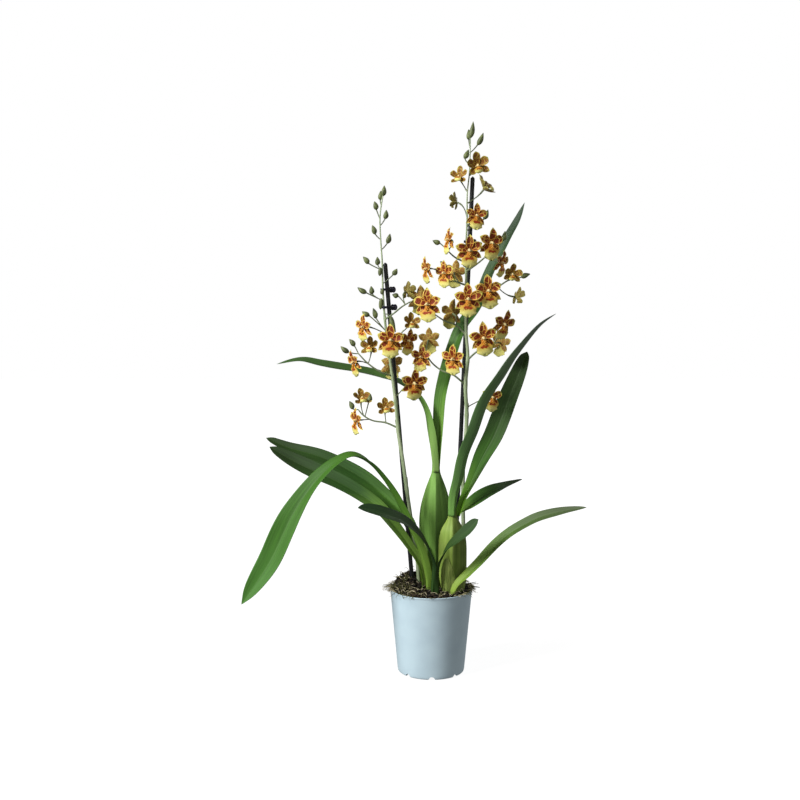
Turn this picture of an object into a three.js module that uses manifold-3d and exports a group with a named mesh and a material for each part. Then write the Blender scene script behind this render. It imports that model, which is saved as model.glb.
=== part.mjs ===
// Potted orchid: a two-spike Cambria orchid (Oncidium hybrid) in a tapered plastic nursery pot.
// Millimetres, +Z up. The origin is the centre of the pot's base, and the plant's front looks to -Y.
import * as THREE from 'three';
import { mergeVertices, toCreasedNormals } from 'three/addons/utils/BufferGeometryUtils.js';
import Module from 'manifold-3d';

const wasm = await Module();
wasm.setup();

// Driving dimensions.
const GAP = 0.3;                // kept between touching pieces
const POT_HEIGHT = 121;
const POT_RIM_RADIUS = 60;
const POT_BASE_RADIUS = 48;
const POT_WALL = 1.6;
const RIM_BAND = 3;             // height of the rolled rim
const RIM_STEP = 1;             // how far the rim stands out from the wall
const POT_SIDES = 40;
const DRAIN_HOLES = 8;
const DRAIN_HOLE_RADIUS = 4;
const DRAIN_RING_RADIUS = 33;
const NOTCHES = 8;              // air notches in the foot, one of them at the front
const NOTCH_WIDTH = 11;
const NOTCH_HEIGHT = 4.5;
const STAKE_RADIUS = 3.2;
const LEAF_THICKNESS = 1.8;
const LEAF_STEPS = 16;
const LEAF_FOLD = 0.35;         // rise of the leaf's edges over half its width
const STALK_RADIUS = 0.9;
const FLOWER_THICKNESS = 1.6;
const FLOWER_CUP = 4;           // how far the sepals' tips reach forward of the centre
const BUD_RADIUS = 3.9;

const v = (x, y, z) => new THREE.Vector3(x, y, z);
const curve = (points) => new THREE.CatmullRomCurve3(points.map((p) => v(...p)), false, 'centripetal');

// ---------- solids ----------

// A closed geometry as a manifold solid: only positions are kept, and shared corners are merged.
function solid(geometry) {
  const bare = geometry.clone();
  bare.deleteAttribute('normal');
  bare.deleteAttribute('uv');
  const merged = mergeVertices(bare, 1e-4);
  return new wasm.Manifold(new wasm.Mesh({
    numProp: 3,
    vertProperties: new Float32Array(merged.attributes.position.array),
    triVerts: new Uint32Array(merged.index.array),
  }));
}

function geometryOf(body) {
  const mesh = body.getMesh();
  const geometry = new THREE.BufferGeometry();
  geometry.setAttribute('position', new THREE.BufferAttribute(new Float32Array(mesh.vertProperties), 3));
  geometry.setIndex(new THREE.BufferAttribute(new Uint32Array(mesh.triVerts), 1));
  return geometry;
}

const unionOf = (geometries) => geometries.map(solid).reduce((whole, next) => whole.add(next));

// The one body of a union, without the empty slivers that touching corners leave.
function largestOf(body) {
  return body.decompose().reduce((best, next) => (next.volume() > best.volume() ? next : best));
}

function piece(name, geometry, material) {
  const mesh = new THREE.Mesh(toCreasedNormals(geometry, 0.6), material);
  mesh.name = name;
  return mesh;
}

// A round limb along a line: radiusAt(t) is its radius from foot (0) to tip (1).
function limb(line, radiusAt, sides, steps) {
  const geometry = new THREE.CylinderGeometry(1, 1, 1, sides, steps);
  const frames = line.computeFrenetFrames(steps, false);
  const at = geometry.attributes.position;
  for (let i = 0; i < at.count; i++) {
    const t = at.getY(i) + 0.5;
    const k = Math.round(t * steps);
    const radius = radiusAt(t);
    const point = line.getPointAt(t)
      .addScaledVector(frames.normals[k], at.getX(i) * radius)
      .addScaledVector(frames.binormals[k], -at.getZ(i) * radius);
    at.setXYZ(i, point.x, point.y, point.z);
  }
  return geometry;
}

const straight = (from, to) => new THREE.LineCurve3(v(...from), v(...to));

// ---------- pot ----------

// The wall's outer radius at a height, for the plain cone under the rim.
const potRadius = (z) => POT_BASE_RADIUS
  + (POT_RIM_RADIUS - RIM_STEP - POT_BASE_RADIUS) * z / (POT_HEIGHT - RIM_BAND);

function turned(profile, sides) {
  return new THREE.LatheGeometry(profile.map(([r, z]) => new THREE.Vector2(r, z)), sides).rotateX(Math.PI / 2);
}

function potBody() {
  const foot = 2.5;
  const underRim = POT_HEIGHT - RIM_BAND;
  const shell = solid(turned([
    [0, 0], [POT_BASE_RADIUS - foot, 0], [POT_BASE_RADIUS, foot], [potRadius(underRim), underRim],
    [POT_RIM_RADIUS, underRim + 0.8], [POT_RIM_RADIUS, POT_HEIGHT - 1], [POT_RIM_RADIUS - 1, POT_HEIGHT],
    [POT_RIM_RADIUS - 3.4, POT_HEIGHT], [potRadius(underRim) - POT_WALL, underRim - 2],
    [potRadius(POT_WALL * 2) - POT_WALL, POT_WALL * 2], [POT_BASE_RADIUS - 5, POT_WALL], [0, POT_WALL],
  ], POT_SIDES));
  let body = shell;
  for (let i = 0; i < DRAIN_HOLES; i++) {
    const turn = (i + 0.5) * 2 * Math.PI / DRAIN_HOLES;
    const hole = new THREE.CylinderGeometry(DRAIN_HOLE_RADIUS, DRAIN_HOLE_RADIUS, 4 * POT_WALL, 8)
      .rotateX(Math.PI / 2)
      .translate(DRAIN_RING_RADIUS * Math.cos(turn), DRAIN_RING_RADIUS * Math.sin(turn), 0);
    body = body.subtract(solid(hole));
  }
  for (let i = 0; i < NOTCHES; i++) {
    const notch = new THREE.CylinderGeometry(NOTCH_WIDTH / 5, NOTCH_WIDTH / 1.6, NOTCH_HEIGHT * 1.5, 4)
      .rotateY(Math.PI / 4)
      .scale(1.1, 1, 0.7)
      .rotateX(Math.PI / 2)
      .translate(0, -POT_BASE_RADIUS, NOTCH_HEIGHT / 4)
      .rotateZ(i * 2 * Math.PI / NOTCHES);
    body = body.subtract(solid(notch));
  }
  return geometryOf(body);
}

// ---------- bark ----------

const heap = { x: -27, y: 13, rise: 20, spread: 26 };

function barkTop(x, y) {
  const r = Math.hypot(x, y);
  const mound = heap.rise * Math.exp(-((x - heap.x) ** 2 + (y - heap.y) ** 2) / heap.spread ** 2);
  const chips = 1.8 * Math.sin(x * 0.31 + 1.2) * Math.cos(y * 0.27) + 1.1 * Math.sin(x * 0.17 - y * 0.43);
  const inside = THREE.MathUtils.smoothstep(POT_RIM_RADIUS - 3 - r, 0, 9);
  return POT_HEIGHT - 3 + inside * (2.5 + mound + chips);
}

function barkBody(cutters) {
  const bottom = POT_WALL * 2 + GAP;
  const wallGap = POT_WALL + 2 * GAP;
  const topRadius = potRadius(POT_HEIGHT - RIM_BAND) - wallGap;
  const rings = [0, 10, 20, 29, 38, 46, 52];
  const geometry = turned([
    [0, bottom], [potRadius(bottom) - wallGap - 3, bottom], [topRadius, POT_HEIGHT - RIM_BAND - 2],
    ...rings.map((r) => [r, POT_HEIGHT]).reverse(),
  ], 28);
  const at = geometry.attributes.position;
  for (let i = 0; i < at.count; i++) {
    if (at.getZ(i) > POT_HEIGHT - 0.5) at.setZ(i, barkTop(at.getX(i), at.getY(i)));
  }
  return geometryOf(cutters.reduce((left, cutter) => left.subtract(solid(cutter)), solid(geometry)));
}

// ---------- stakes and clips ----------

const stakes = {
  stake_left: { foot: [-18, 3, 20], top: [-66, 3, 588] },
  stake_right: { foot: [30, 21, 20], top: [57, 3, 708] },
};

const stakeBody = (plan, extra = 0) => limb(straight(plan.foot, plan.top), () => STAKE_RADIUS + extra, 12, 1);

function alongStake(plan, z) {
  const share = (z - plan.foot[2]) / (plan.top[2] - plan.foot[2]);
  return v(...plan.foot).lerp(v(...plan.top), share);
}

// A spring clip: an oval band round stake and stem, with two finger pads beyond the stake.
function clipBody(stake, stem) {
  const height = 6;
  const wall = 1.2;
  const room = STAKE_RADIUS + 2 * GAP;
  const reach = stake.distanceTo(stem);
  const band = new THREE.Shape();
  band.absarc(0, 0, room + wall, -Math.PI / 2, Math.PI / 2, false);
  band.absarc(-reach, 0, room + wall, Math.PI / 2, 1.5 * Math.PI, false);
  const inside = new THREE.Path();
  inside.absarc(0, 0, room, -Math.PI / 2, Math.PI / 2, false);
  inside.absarc(-reach, 0, room, Math.PI / 2, 1.5 * Math.PI, false);
  band.holes.push(inside);
  const parts = [new THREE.ExtrudeGeometry(band, { depth: height, bevelEnabled: false, curveSegments: 8 })
    .translate(0, 0, -height / 2)];
  for (const side of [-1, 1]) {
    const arm = straight([room + wall / 2, side * 1.2, 0], [room + 5, side * 2.6, 0]);
    const pad = new THREE.CylinderGeometry(4, 4, 1.6, 12).translate(room + 5, side * 2.8, 0);
    parts.push(limb(arm, () => 1.2, 6, 1), pad);
  }
  return geometryOf(unionOf(parts))
    .rotateZ(Math.atan2(stake.y - stem.y, stake.x - stem.x))
    .translate(stake.x, stake.y, stake.z);
}

// ---------- pseudobulbs ----------

// Half-widths of each flattened bulb at heights above its foot.
const bulbs = {
  pseudobulb_back: {
    at: [7, 14, 108], flat: 0.55,
    profile: [[8, 0], [11, 22], [16, 50], [21, 80], [23.4, 104], [21.5, 128], [15.5, 152], [9.5, 170], [6.6, 178]],
  },
  pseudobulb_front: {
    at: [30, -14, 108], flat: 0.6,
    profile: [[10, 0], [15, 16], [18.8, 36], [19.6, 60], [19, 84], [16, 100], [10, 112], [7.2, 118]],
  },
};

function bulbBody(plan, extra = 0) {
  const top = plan.profile.at(-1)[1];
  const outline = [[0, -extra], ...plan.profile.map(([r, z]) => [r + extra, z]), [0, top + extra]];
  outline[1] = [outline[1][0], -extra];
  outline[outline.length - 2] = [outline.at(-2)[0], top + extra];
  return turned(outline, 18).scale(1, plan.flat + extra * 0.03, 1).translate(...plan.at);
}

// ---------- leaves ----------

// Each leaf: its widths as [share of its length, width], its midline from foot to tip, and the way its upper
// face looks at even steps along it.
const leaves = {
  leaf_drooping_left: {
    widths: [[0, 13], [0.3, 17], [0.6, 23], [0.75, 34], [0.85, 34], [0.94, 23], [1, 5]],
    line: [[-5, -18, 116], [-6, -20, 140], [-16, -25, 182], [-40, -35, 238], [-68, -47, 287], [-90, -58, 313],
      [-110, -66, 322], [-130, -72, 315], [-156, -78, 293], [-189, -84, 248], [-221, -89, 182],
      [-261, -92, 122]],
    faces: [[0.4, 0.85, 0.3], [0.35, 0.5, 0.8], [-0.1, -0.3, 1], [-0.35, -0.9, 0.3], [-0.35, -0.92, 0.1]],
  },
  leaf_back_left: {
    widths: [[0, 12], [0.3, 18], [0.5, 25], [0.7, 25], [0.88, 18], [0.97, 11], [1, 5]],
    line: [[-9, 7, 118], [-16, 9, 158], [-24, 13, 192], [-32, 19, 212], [-46, 23, 229], [-72, 35, 252],
      [-99, 46, 272], [-157, 62, 300], [-214, 74, 316], [-246, 80, 329]],
    faces: [[0.3, -0.9, 0.2], [0.1, -0.8, 0.5], [0, -0.7, 0.7], [0, -0.7, 0.7], [-0.1, -0.7, 0.7]],
  },
  leaf_low_back_left: {
    widths: [[0, 12], [0.3, 18], [0.5, 24], [0.75, 29], [0.88, 24], [0.96, 15], [1, 5]],
    line: [[-12, -10, 118], [-13, -11, 145], [-20, -11, 165], [-36, -11, 190], [-54, -6, 213], [-73, 4, 234],
      [-98, 16, 251], [-135, 28, 270], [-197, 46, 296], [-238, 54, 319]],
    faces: [[0.6, -0.7, 0.3], [0.3, -0.6, 0.75], [0, -0.65, 0.75], [0, -0.7, 0.7], [-0.1, -0.7, 0.7]],
  },
  leaf_short_front_left: {
    widths: [[0, 8], [0.35, 12], [0.6, 21], [0.8, 24], [0.93, 19], [1, 7]],
    line: [[1, -27, 116], [2, -34, 164], [-6, -43, 189], [-20, -53, 211], [-40, -63, 230], [-66, -76, 243],
      [-102, -91, 255]],
    faces: [[0.3, 0.9, 0.3], [0.5, -0.2, 0.8], [0.2, -0.5, 0.85], [0, -0.55, 0.83]],
  },
  leaf_arching_left: {
    widths: [[0, 13], [0.3, 20], [0.5, 24], [0.75, 20], [0.93, 11], [1, 2.5]],
    line: [[4, 9, 288], [-2, 14, 348], [-9, 20, 376], [-21, 27, 398], [-41, 35, 412], [-60, 41, 420],
      [-101, 53, 430], [-162, 67, 440], [-192, 74, 446], [-229, 82, 440]],
    faces: [[0.6, 0.75, 0.2], [0.5, 0.5, 0.7], [0.1, -0.3, 0.95], [0, -0.42, 0.9], [-0.2, -0.4, 0.9]],
  },
  leaf_upright_centre: {
    widths: [[0, 13], [0.15, 17], [0.4, 22], [0.7, 20], [0.92, 14], [1, 3]],
    line: [[9, 18, 288], [11, 20, 334], [14, 25, 392], [22, 30, 427], [34, 35, 468], [46, 39, 496],
      [68, 45, 527], [87, 52, 575], [111, 58, 622], [127, 62, 651], [137, 65, 677]],
    faces: [[-0.4, -0.85, 0.1], [-0.5, -0.8, 0.2], [-0.6, -0.7, 0.3], [-0.6, -0.6, 0.4], [-0.6, -0.6, 0.4]],
  },
  leaf_long_right: {
    widths: [[0, 13], [0.2, 19], [0.5, 22], [0.75, 19], [0.92, 10], [1, 2.5]],
    line: [[31, -20, 229], [33, -22, 259], [38, -25, 281], [46, -30, 318], [58, -38, 351], [75, -48, 398],
      [96, -58, 432], [116, -68, 464], [143, -80, 500], [163, -90, 517]],
    faces: [[-0.4, 0.85, 0.1], [-0.5, 0.75, 0.3], [-0.5, 0.65, 0.5], [-0.5, 0.5, 0.7], [-0.4, 0.4, 0.8]],
  },
  leaf_broad_right: {
    widths: [[0, 10], [0.15, 12], [0.35, 25], [0.55, 31], [0.75, 29], [0.9, 23], [0.97, 15], [1, 6]],
    line: [[38, -12, 229], [47, -10, 256], [58, -6, 280], [74, 4, 311], [90, 12, 339], [104, 22, 370],
      [117, 32, 402], [130, 42, 432], [141, 48, 460]],
    faces: [[-0.4, -0.85, 0.1], [-0.4, -0.85, 0.3], [-0.4, -0.85, 0.35], [-0.4, -0.85, 0.3]],
  },
  leaf_short_right: {
    widths: [[0, 11], [0.3, 22], [0.55, 19], [0.8, 10], [1, 2]],
    line: [[37, -5, 229], [48, -4, 237], [63, 2, 247], [82, 12, 257], [98, 21, 263], [113, 32, 267],
      [135, 40, 273]],
    faces: [[-0.4, -0.6, 0.7], [-0.3, -0.7, 0.65], [0, -0.6, 0.8]],
  },
  leaf_young_front: {
    widths: [[0, 8], [0.4, 11], [0.65, 18], [0.85, 22], [0.95, 17], [1, 7]],
    line: [[9, -34, 114], [8, -38, 148], [12, -45, 170], [22, -54, 191], [36, -64, 207], [49, -73, 221],
      [62, -80, 237]],
    faces: [[-0.3, 0.9, 0.3], [-0.6, 0.3, 0.6], [-0.6, -0.55, 0.55], [-0.5, -0.7, 0.45]],
  },
  leaf_low_right: {
    widths: [[0, 12], [0.2, 18], [0.5, 19], [0.8, 16], [0.93, 9], [1, 2.5]],
    line: [[31, -34, 112], [37, -34, 132], [51, -36, 149], [68, -39, 167], [92, -44, 195], [108, -48, 210],
      [127, -53, 223], [148, -59, 235], [177, -67, 245], [210, -77, 253]],
    faces: [[-0.7, -0.3, 0.5], [-0.4, -0.5, 0.75], [-0.3, -0.55, 0.75], [-0.2, -0.6, 0.75]],
  },
};

function faceAt(faces, t) {
  const place = Math.min(t, 0.9999) * (faces.length - 1);
  const k = Math.floor(place);
  return v(...faces[k]).normalize().lerp(v(...faces[k + 1]).normalize(), place - k);
}

// Half the leaf's width, on straight runs between its table's rows.
function leafHalfWidth({ widths }, t) {
  const k = Math.max(1, widths.findIndex(([share]) => share >= t));
  const [from, narrow] = widths[k - 1];
  const [to, wide] = widths[k];
  return THREE.MathUtils.mapLinear(t, from, to, narrow, wide) / 2;
}

// A strap folded along its midrib. extra makes it fatter, to cut its seat in the bark.
function leafBody(plan, extra = 0) {
  const geometry = new THREE.BoxGeometry(1, 1, 1, 2, 1, LEAF_STEPS);
  const line = curve(plan.line);
  const at = geometry.attributes.position;
  for (let i = 0; i < at.count; i++) {
    const t = at.getZ(i) + 0.5;
    const along = line.getTangentAt(t);
    const side = faceAt(plan.faces, t).cross(along).normalize();
    const up = v(0, 0, 0).crossVectors(along, side);
    const half = leafHalfWidth(plan, t) + extra;
    const thickness = (LEAF_THICKNESS + 2 * extra) * (1 - 0.6 * t);
    const point = line.getPointAt(t)
      .addScaledVector(side, 2 * at.getX(i) * half)
      .addScaledVector(up, at.getY(i) * thickness + 2 * Math.abs(at.getX(i)) * half * LEAF_FOLD);
    at.setXYZ(i, point.x, point.y, point.z);
  }
  return geometry;
}

// ---------- flower spikes ----------

// Each spike: its stem, its side branches, its flowers and its buds.
// A flower row is [centre, heading, tilt, size, where its stalk starts]: heading 0 looks to the front and
// +90 to +X, tilt is upward, both in degrees. A bud row is [foot, tip, where its stalk starts].
const spikes = {
  left: {
    stem: {
      line: [[-17, 0, 112], [-21, 0, 170], [-28, -2, 215], [-34, -5, 256], [-41, -6, 307], [-47, -5, 345],
        [-51, -5, 389], [-59, -5, 450], [-66, -3, 504], [-69, -2, 547], [-70, -3, 588], [-72, -2, 618],
        [-73, -1, 652], [-69, 0, 682]],
      foot: 2.7, tip: 0.9,
    },
    branches: [
      [[-46, -5, 353], [-65, -2, 361], [-84, 0, 364], [-97, 1, 371], [-105, 1, 380]],
      [[-55, -5, 428], [-72, -12, 434], [-90, -11, 446], [-105, -6, 461]],
      [[-66, -3, 508], [-52, -10, 518], [-42, -5, 526], [-32, 0, 532]],
      [[-61, -4, 470], [-48, -10, 478], [-42, -8, 490]],
    ],
    flowers: [
      [[-36, 15, 547], 140, 10, 0.85, [-38, -3, 529]],
      [[-17, 14, 536], 165, 10, 1, [-32, 0, 532]],
      [[-95, -6, 498], -80, 0, 0.9, [-68, -3, 485]],
      [[-58, -30, 480], 0, 5, 1.1, [-62, -4, 470]],
      [[-35, -12, 479], 70, -5, 0.9, [-46, -10, 482]],
      [[-30, -14, 502], 20, 25, 0.85, [-42, -8, 490]],
      [[-87, 10, 468], -150, 30, 0.85, [-90, -11, 446]],
      [[-108, -18, 449], -60, -10, 0.9, [-90, -11, 446]],
      [[-58, 26, 443], 150, 0, 1, [-59, -5, 446]],
      [[-26, -28, 420], 20, -5, 1.05, [-52, -5, 396]],
      [[-66, 12, 380], -140, 20, 0.85, [-65, -2, 361]],
      [[-100, 14, 393], -160, 25, 0.85, [-97, 1, 371]],
      [[-105, -14, 366], -60, 0, 0.9, [-88, 0, 366]],
    ],
    buds: [
      [[-69, 0, 680], [-67, 0, 695], [-69, 0, 678]],
      [[-73, 2, 675], [-72, 3, 688], [-71, 0, 668]],
      [[-78, 0, 661], [-81, -1, 673], [-73, -1, 650]],
      [[-66, -2, 648], [-64, -3, 661], [-72, -1, 640]],
      [[-80, 0, 627], [-84, 0, 640], [-73, -2, 622]],
      [[-63, -2, 614], [-59, -3, 628], [-71, -2, 604]],
      [[-89, 0, 586], [-97, 0, 596], [-71, -3, 578]],
      [[-77, 4, 584], [-77, 6, 596], [-71, -3, 576]],
      [[-55, -7, 570], [-49, -8, 579], [-70, -3, 560]],
      [[-92, 0, 545], [-105, 0, 553], [-69, -2, 535]],
      [[-85, 4, 543], [-86, 6, 555], [-69, -2, 534]],
      [[-47, 4, 541], [-56, 5, 543], [-38, -3, 529]],
      [[-79, -2, 509], [-83, -3, 524], [-67, -3, 492]],
      [[-88, 3, 513], [-99, 4, 519], [-67, -3, 491]],
      [[-117, -4, 461], [-129, -4, 470], [-104, -6, 460]],
      [[-109, -2, 470], [-117, -1, 480], [-104, -6, 460]],
      [[-112, 0, 380], [-117, -1, 392], [-105, 1, 380]],
      [[-90, 3, 389], [-87, 4, 402], [-95, 1, 370]],
      [[-58, -9, 513], [-51, -14, 490], [-66, -3, 513]],
    ],
  },
  right: {
    stem: {
      line: [[47, 7, 112], [47, 7, 190], [46, 9, 247], [46, 5, 300], [49, 0, 340], [50, -2, 373], [48, -4, 415],
        [51, -4, 454], [48, -5, 494], [48, -4, 558], [48, -2, 612], [49, -3, 649], [49, -4, 683],
        [52, -3, 713], [53, 0, 743], [53, 0, 762]],
      foot: 2.9, tip: 0.8,
    },
    branches: [
      [[48, -4, 415], [30, -9, 430], [14, -8, 436], [0, -4, 447], [-8, 2, 459]],
      [[50, -4, 450], [64, -10, 463], [82, -4, 468], [93, 2, 482]],
      [[48, -5, 486], [34, -2, 500], [18, -6, 506], [4, -6, 515]],
      [[48, -5, 525], [68, 2, 538], [90, 2, 551], [106, 0, 562], [118, 2, 566]],
      [[48, -4, 556], [32, 0, 562], [18, -4, 570], [6, -4, 577]],
      [[48, -4, 575], [66, -4, 588], [80, -4, 600]],
      [[48, -3, 588], [34, -2, 594], [22, -2, 604]],
    ],
    flowers: [
      [[67, -12, 722], 40, 30, 0.9, [53, -2, 706]],
      [[37, -8, 704], -40, 55, 0.8, [49, -4, 688]],
      [[73, -4, 688], 100, 55, 0.9, [50, -3, 672]],
      [[35, 6, 672], -120, 15, 0.85, [49, -3, 650]],
      [[60, -22, 650], 15, 0, 0.95, [49, -3, 636]],
      [[25, -11, 619], -70, 10, 0.9, [22, -2, 604]],
      [[50, -34, 604], 5, -5, 1.05, [48, -3, 596]],
      [[80, -27, 614], 25, 0, 1.05, [80, -4, 600]],
      [[96, -6, 588], 75, -15, 0.9, [74, -4, 596]],
      [[-6, -14, 579], -65, -5, 0.9, [6, -4, 577]],
      [[18, -24, 573], -40, 0, 0.9, [14, -4, 572]],
      [[33, 22, 574], 165, 5, 0.95, [38, -2, 560]],
      [[49, -36, 537], 0, 0, 1.1, [48, -5, 528]],
      [[77, -26, 548], 8, 5, 1.1, [74, 2, 541]],
      [[113, -16, 573], 50, -50, 0.85, [108, 0, 562]],
      [[120, 18, 540], 120, 0, 0.9, [94, 2, 553]],
      [[30, 22, 516], -150, 10, 1, [34, -2, 500]],
      [[-6, -26, 530], -20, 0, 1.1, [4, -6, 515]],
      [[70, -34, 483], 8, 0, 1.1, [64, -10, 463]],
      [[99, -16, 503], 35, -15, 1, [93, 2, 482]],
      [[99, 20, 474], 150, -10, 0.85, [86, -2, 470]],
      [[30, -28, 454], -30, -5, 1, [30, -9, 430]],
      [[-4, 20, 478], 170, 5, 0.9, [-8, 2, 459]],
      [[-14, -10, 455], -25, 10, 0.9, [-4, -2, 451]],
      [[84, -6, 398], 30, 5, 0.9, [48, -3, 384]],
    ],
    buds: [
      [[53, 0, 760], [57, 0, 783], [53, 0, 756]],
      [[51, 3, 758], [51, 4, 773], [53, 0, 748]],
      [[63, -2, 750], [71, -3, 767], [53, 0, 738]],
      [[45, 2, 732], [51, 3, 745], [53, -1, 724]],
      [[73, 4, 648], [79, 5, 662], [49, -3, 630]],
      [[12, 5, 615], [1, 6, 619], [22, -2, 604]],
      [[100, 2, 618], [103, 3, 632], [80, -4, 600]],
      [[126, 2, 567], [139, 3, 572], [116, 2, 565]],
      [[20, 6, 580], [12, 8, 590], [20, -3, 568]],
    ],
  },
};

// The reach of a flower from its centre, every 15 degrees from the dorsal sepal's tip round to the lip's.
const reach = [22, 15, 8, 9, 16, 20, 15, 9, 12, 19, 19, 18, 19];

const facing = (heading, tilt) => {
  const h = THREE.MathUtils.degToRad(heading);
  const e = THREE.MathUtils.degToRad(tilt);
  return v(Math.sin(h) * Math.cos(e), -Math.cos(h) * Math.cos(e), Math.sin(e));
};

// A star-shaped plate with six lobes, cupped forward and thickest at its centre.
function flowerBody([centre, heading, tilt, size]) {
  const geometry = new THREE.SphereGeometry(1, 24, 3).rotateX(Math.PI / 2);
  const forward = facing(heading, tilt);
  const across = v(0, 0, 1).cross(forward).normalize();
  const up = v(0, 0, 0).crossVectors(forward, across);
  const at = geometry.attributes.position;
  const ring = Math.sin(Math.PI / 3);
  for (let i = 0; i < at.count; i++) {
    const r = Math.hypot(at.getX(i), at.getY(i)) / ring;
    const turn = Math.abs(Math.atan2(at.getX(i), at.getY(i)));
    const lobe = r * reach[Math.round(turn / (Math.PI / 12))] * size;
    const angle = Math.atan2(at.getX(i), at.getY(i));
    const depth = at.getZ(i) * FLOWER_THICKNESS + r * FLOWER_CUP * size;
    const point = v(...centre)
      .addScaledVector(across, lobe * Math.sin(angle))
      .addScaledVector(up, lobe * Math.cos(angle))
      .addScaledVector(forward, depth);
    at.setXYZ(i, point.x, point.y, point.z);
  }
  return geometry;
}

// The nearest of the spike's lines to a point, so that a stalk starts inside it.
function nearestOn(lines, point) {
  const tried = lines.flatMap((line) => line.getSpacedPoints(120));
  return tried.reduce((best, next) => (next.distanceTo(point) < best.distanceTo(point) ? next : best));
}

function flowerStalk(lines, [centre, heading, tilt, , start]) {
  const forward = facing(heading, tilt);
  const end = v(...centre).addScaledVector(forward, -FLOWER_THICKNESS - GAP);
  const from = nearestOn(lines, v(...start));
  const bend = end.clone().addScaledVector(forward, -0.45 * from.distanceTo(end));
  return limb(new THREE.QuadraticBezierCurve3(from, bend, end), () => STALK_RADIUS, 5, 3);
}

function budParts(lines, [foot, tip, start]) {
  const from = nearestOn(lines, v(...start));
  const into = v(...foot).lerp(v(...tip), 0.15);
  const bend = v(...foot).lerp(from, 0.4).addScaledVector(v(...tip).sub(v(...foot)), -0.15);
  const swell = (t) => 0.35 + BUD_RADIUS * Math.sin(Math.PI * t ** 0.85) ** 0.8 * (1 - 0.2 * t);
  return [
    limb(new THREE.QuadraticBezierCurve3(from, bend, into), () => STALK_RADIUS, 5, 2),
    limb(straight(foot, tip), swell, 6, 3),
  ];
}

const stemLimb = ({ line, foot, tip }, extra = 0) => limb(curve(line), (t) => foot + (tip - foot) * t + extra, 7, 24);

function spikeBody(plan) {
  const lines = [plan.stem.line, ...plan.branches].map(curve);
  const parts = [
    stemLimb(plan.stem),
    ...lines.slice(1).map((line) => limb(line, (t) => 1.5 - 0.5 * t, 5, 5)),
    ...plan.flowers.map((row) => flowerStalk(lines, row)),
    ...plan.buds.flatMap((row) => budParts(lines, row)),
  ];
  return geometryOf(largestOf(unionOf(parts)));
}

// ---------- materials ----------

const finish = (color, roughness, metalness = 0) => new THREE.MeshStandardMaterial({ color, roughness, metalness });
const materials = {
  pot: finish(0xb4c6d1, 0.45),
  bark: finish(0x35261a, 0.9),
  stake: finish(0x15181a, 0.5),
  clip: finish(0x171a2a, 0.4),
  bulb: finish(0x7f9c4e, 0.45),
  leaf: finish(0x35582a, 0.5),
  stem: finish(0x6f8a55, 0.55),
  flower: finish(0xa8682a, 0.6),
};

// ---------- the object ----------

const group = new THREE.Group();
const planter = new THREE.Group();
const plant = new THREE.Group();
group.add(planter, plant);

const seats = [
  ...Object.values(stakes).map((plan) => stakeBody(plan, GAP)),
  ...Object.values(bulbs).map((plan) => bulbBody(plan, GAP)),
  ...Object.values(leaves).map((plan) => leafBody(plan, GAP)),
  ...Object.values(spikes).map((plan) => stemLimb(plan.stem, GAP)),
];

planter.add(piece('pot', potBody(), materials.pot));
planter.add(piece('bark_mix', barkBody(seats), materials.bark));
for (const [name, plan] of Object.entries(stakes)) {
  planter.add(piece(name, stakeBody(plan), materials.stake));
}
for (const [name, side, z] of [['clip_left_lower', 'left', 525], ['clip_left_upper', 'left', 550],
  ['clip_right', 'right', 617]]) {
  const stake = alongStake(stakes[`stake_${side}`], z);
  const stem = nearestOn([curve(spikes[side].stem.line)], stake).setZ(z);
  planter.add(piece(name, clipBody(stake, stem), materials.clip));
}

for (const [name, plan] of Object.entries(bulbs)) {
  plant.add(piece(name, bulbBody(plan), materials.bulb));
}
for (const [name, plan] of Object.entries(leaves)) {
  plant.add(piece(name, leafBody(plan), materials.leaf));
}
for (const [side, plan] of Object.entries(spikes)) {
  plant.add(piece(`flower_spike_${side}`, spikeBody(plan), materials.stem));
  plan.flowers.forEach((row, i) => {
    const number = String(i + 1).padStart(2, '0');
    plant.add(piece(`flower_${side}_${number}`, flowerBody(row), materials.flower));
  });
}

export default group;
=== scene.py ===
"""A two-spike orchid with tiger-striped flowers in a tapered plastic pot: fine meshes and materials.

Tables are in millimetres in the frame's own axes: origin at the middle of the pot's base, +Z up, front to -Y.
"""
import math
import random

import bpy
from mathutils import Matrix, Vector, noise


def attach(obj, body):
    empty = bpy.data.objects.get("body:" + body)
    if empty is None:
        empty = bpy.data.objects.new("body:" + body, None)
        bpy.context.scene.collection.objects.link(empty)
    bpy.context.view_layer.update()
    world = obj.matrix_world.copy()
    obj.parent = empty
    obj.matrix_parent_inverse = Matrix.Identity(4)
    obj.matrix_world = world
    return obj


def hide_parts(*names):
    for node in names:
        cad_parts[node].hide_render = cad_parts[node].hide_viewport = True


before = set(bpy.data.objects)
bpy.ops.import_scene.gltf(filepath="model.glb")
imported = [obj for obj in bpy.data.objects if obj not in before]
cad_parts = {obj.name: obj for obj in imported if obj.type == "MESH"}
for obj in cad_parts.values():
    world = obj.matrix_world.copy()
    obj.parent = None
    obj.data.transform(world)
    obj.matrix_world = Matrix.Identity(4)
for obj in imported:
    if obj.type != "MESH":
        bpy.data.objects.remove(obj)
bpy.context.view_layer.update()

MM = 0.001
random.seed(12)

# ---------- sizes ----------

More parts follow.
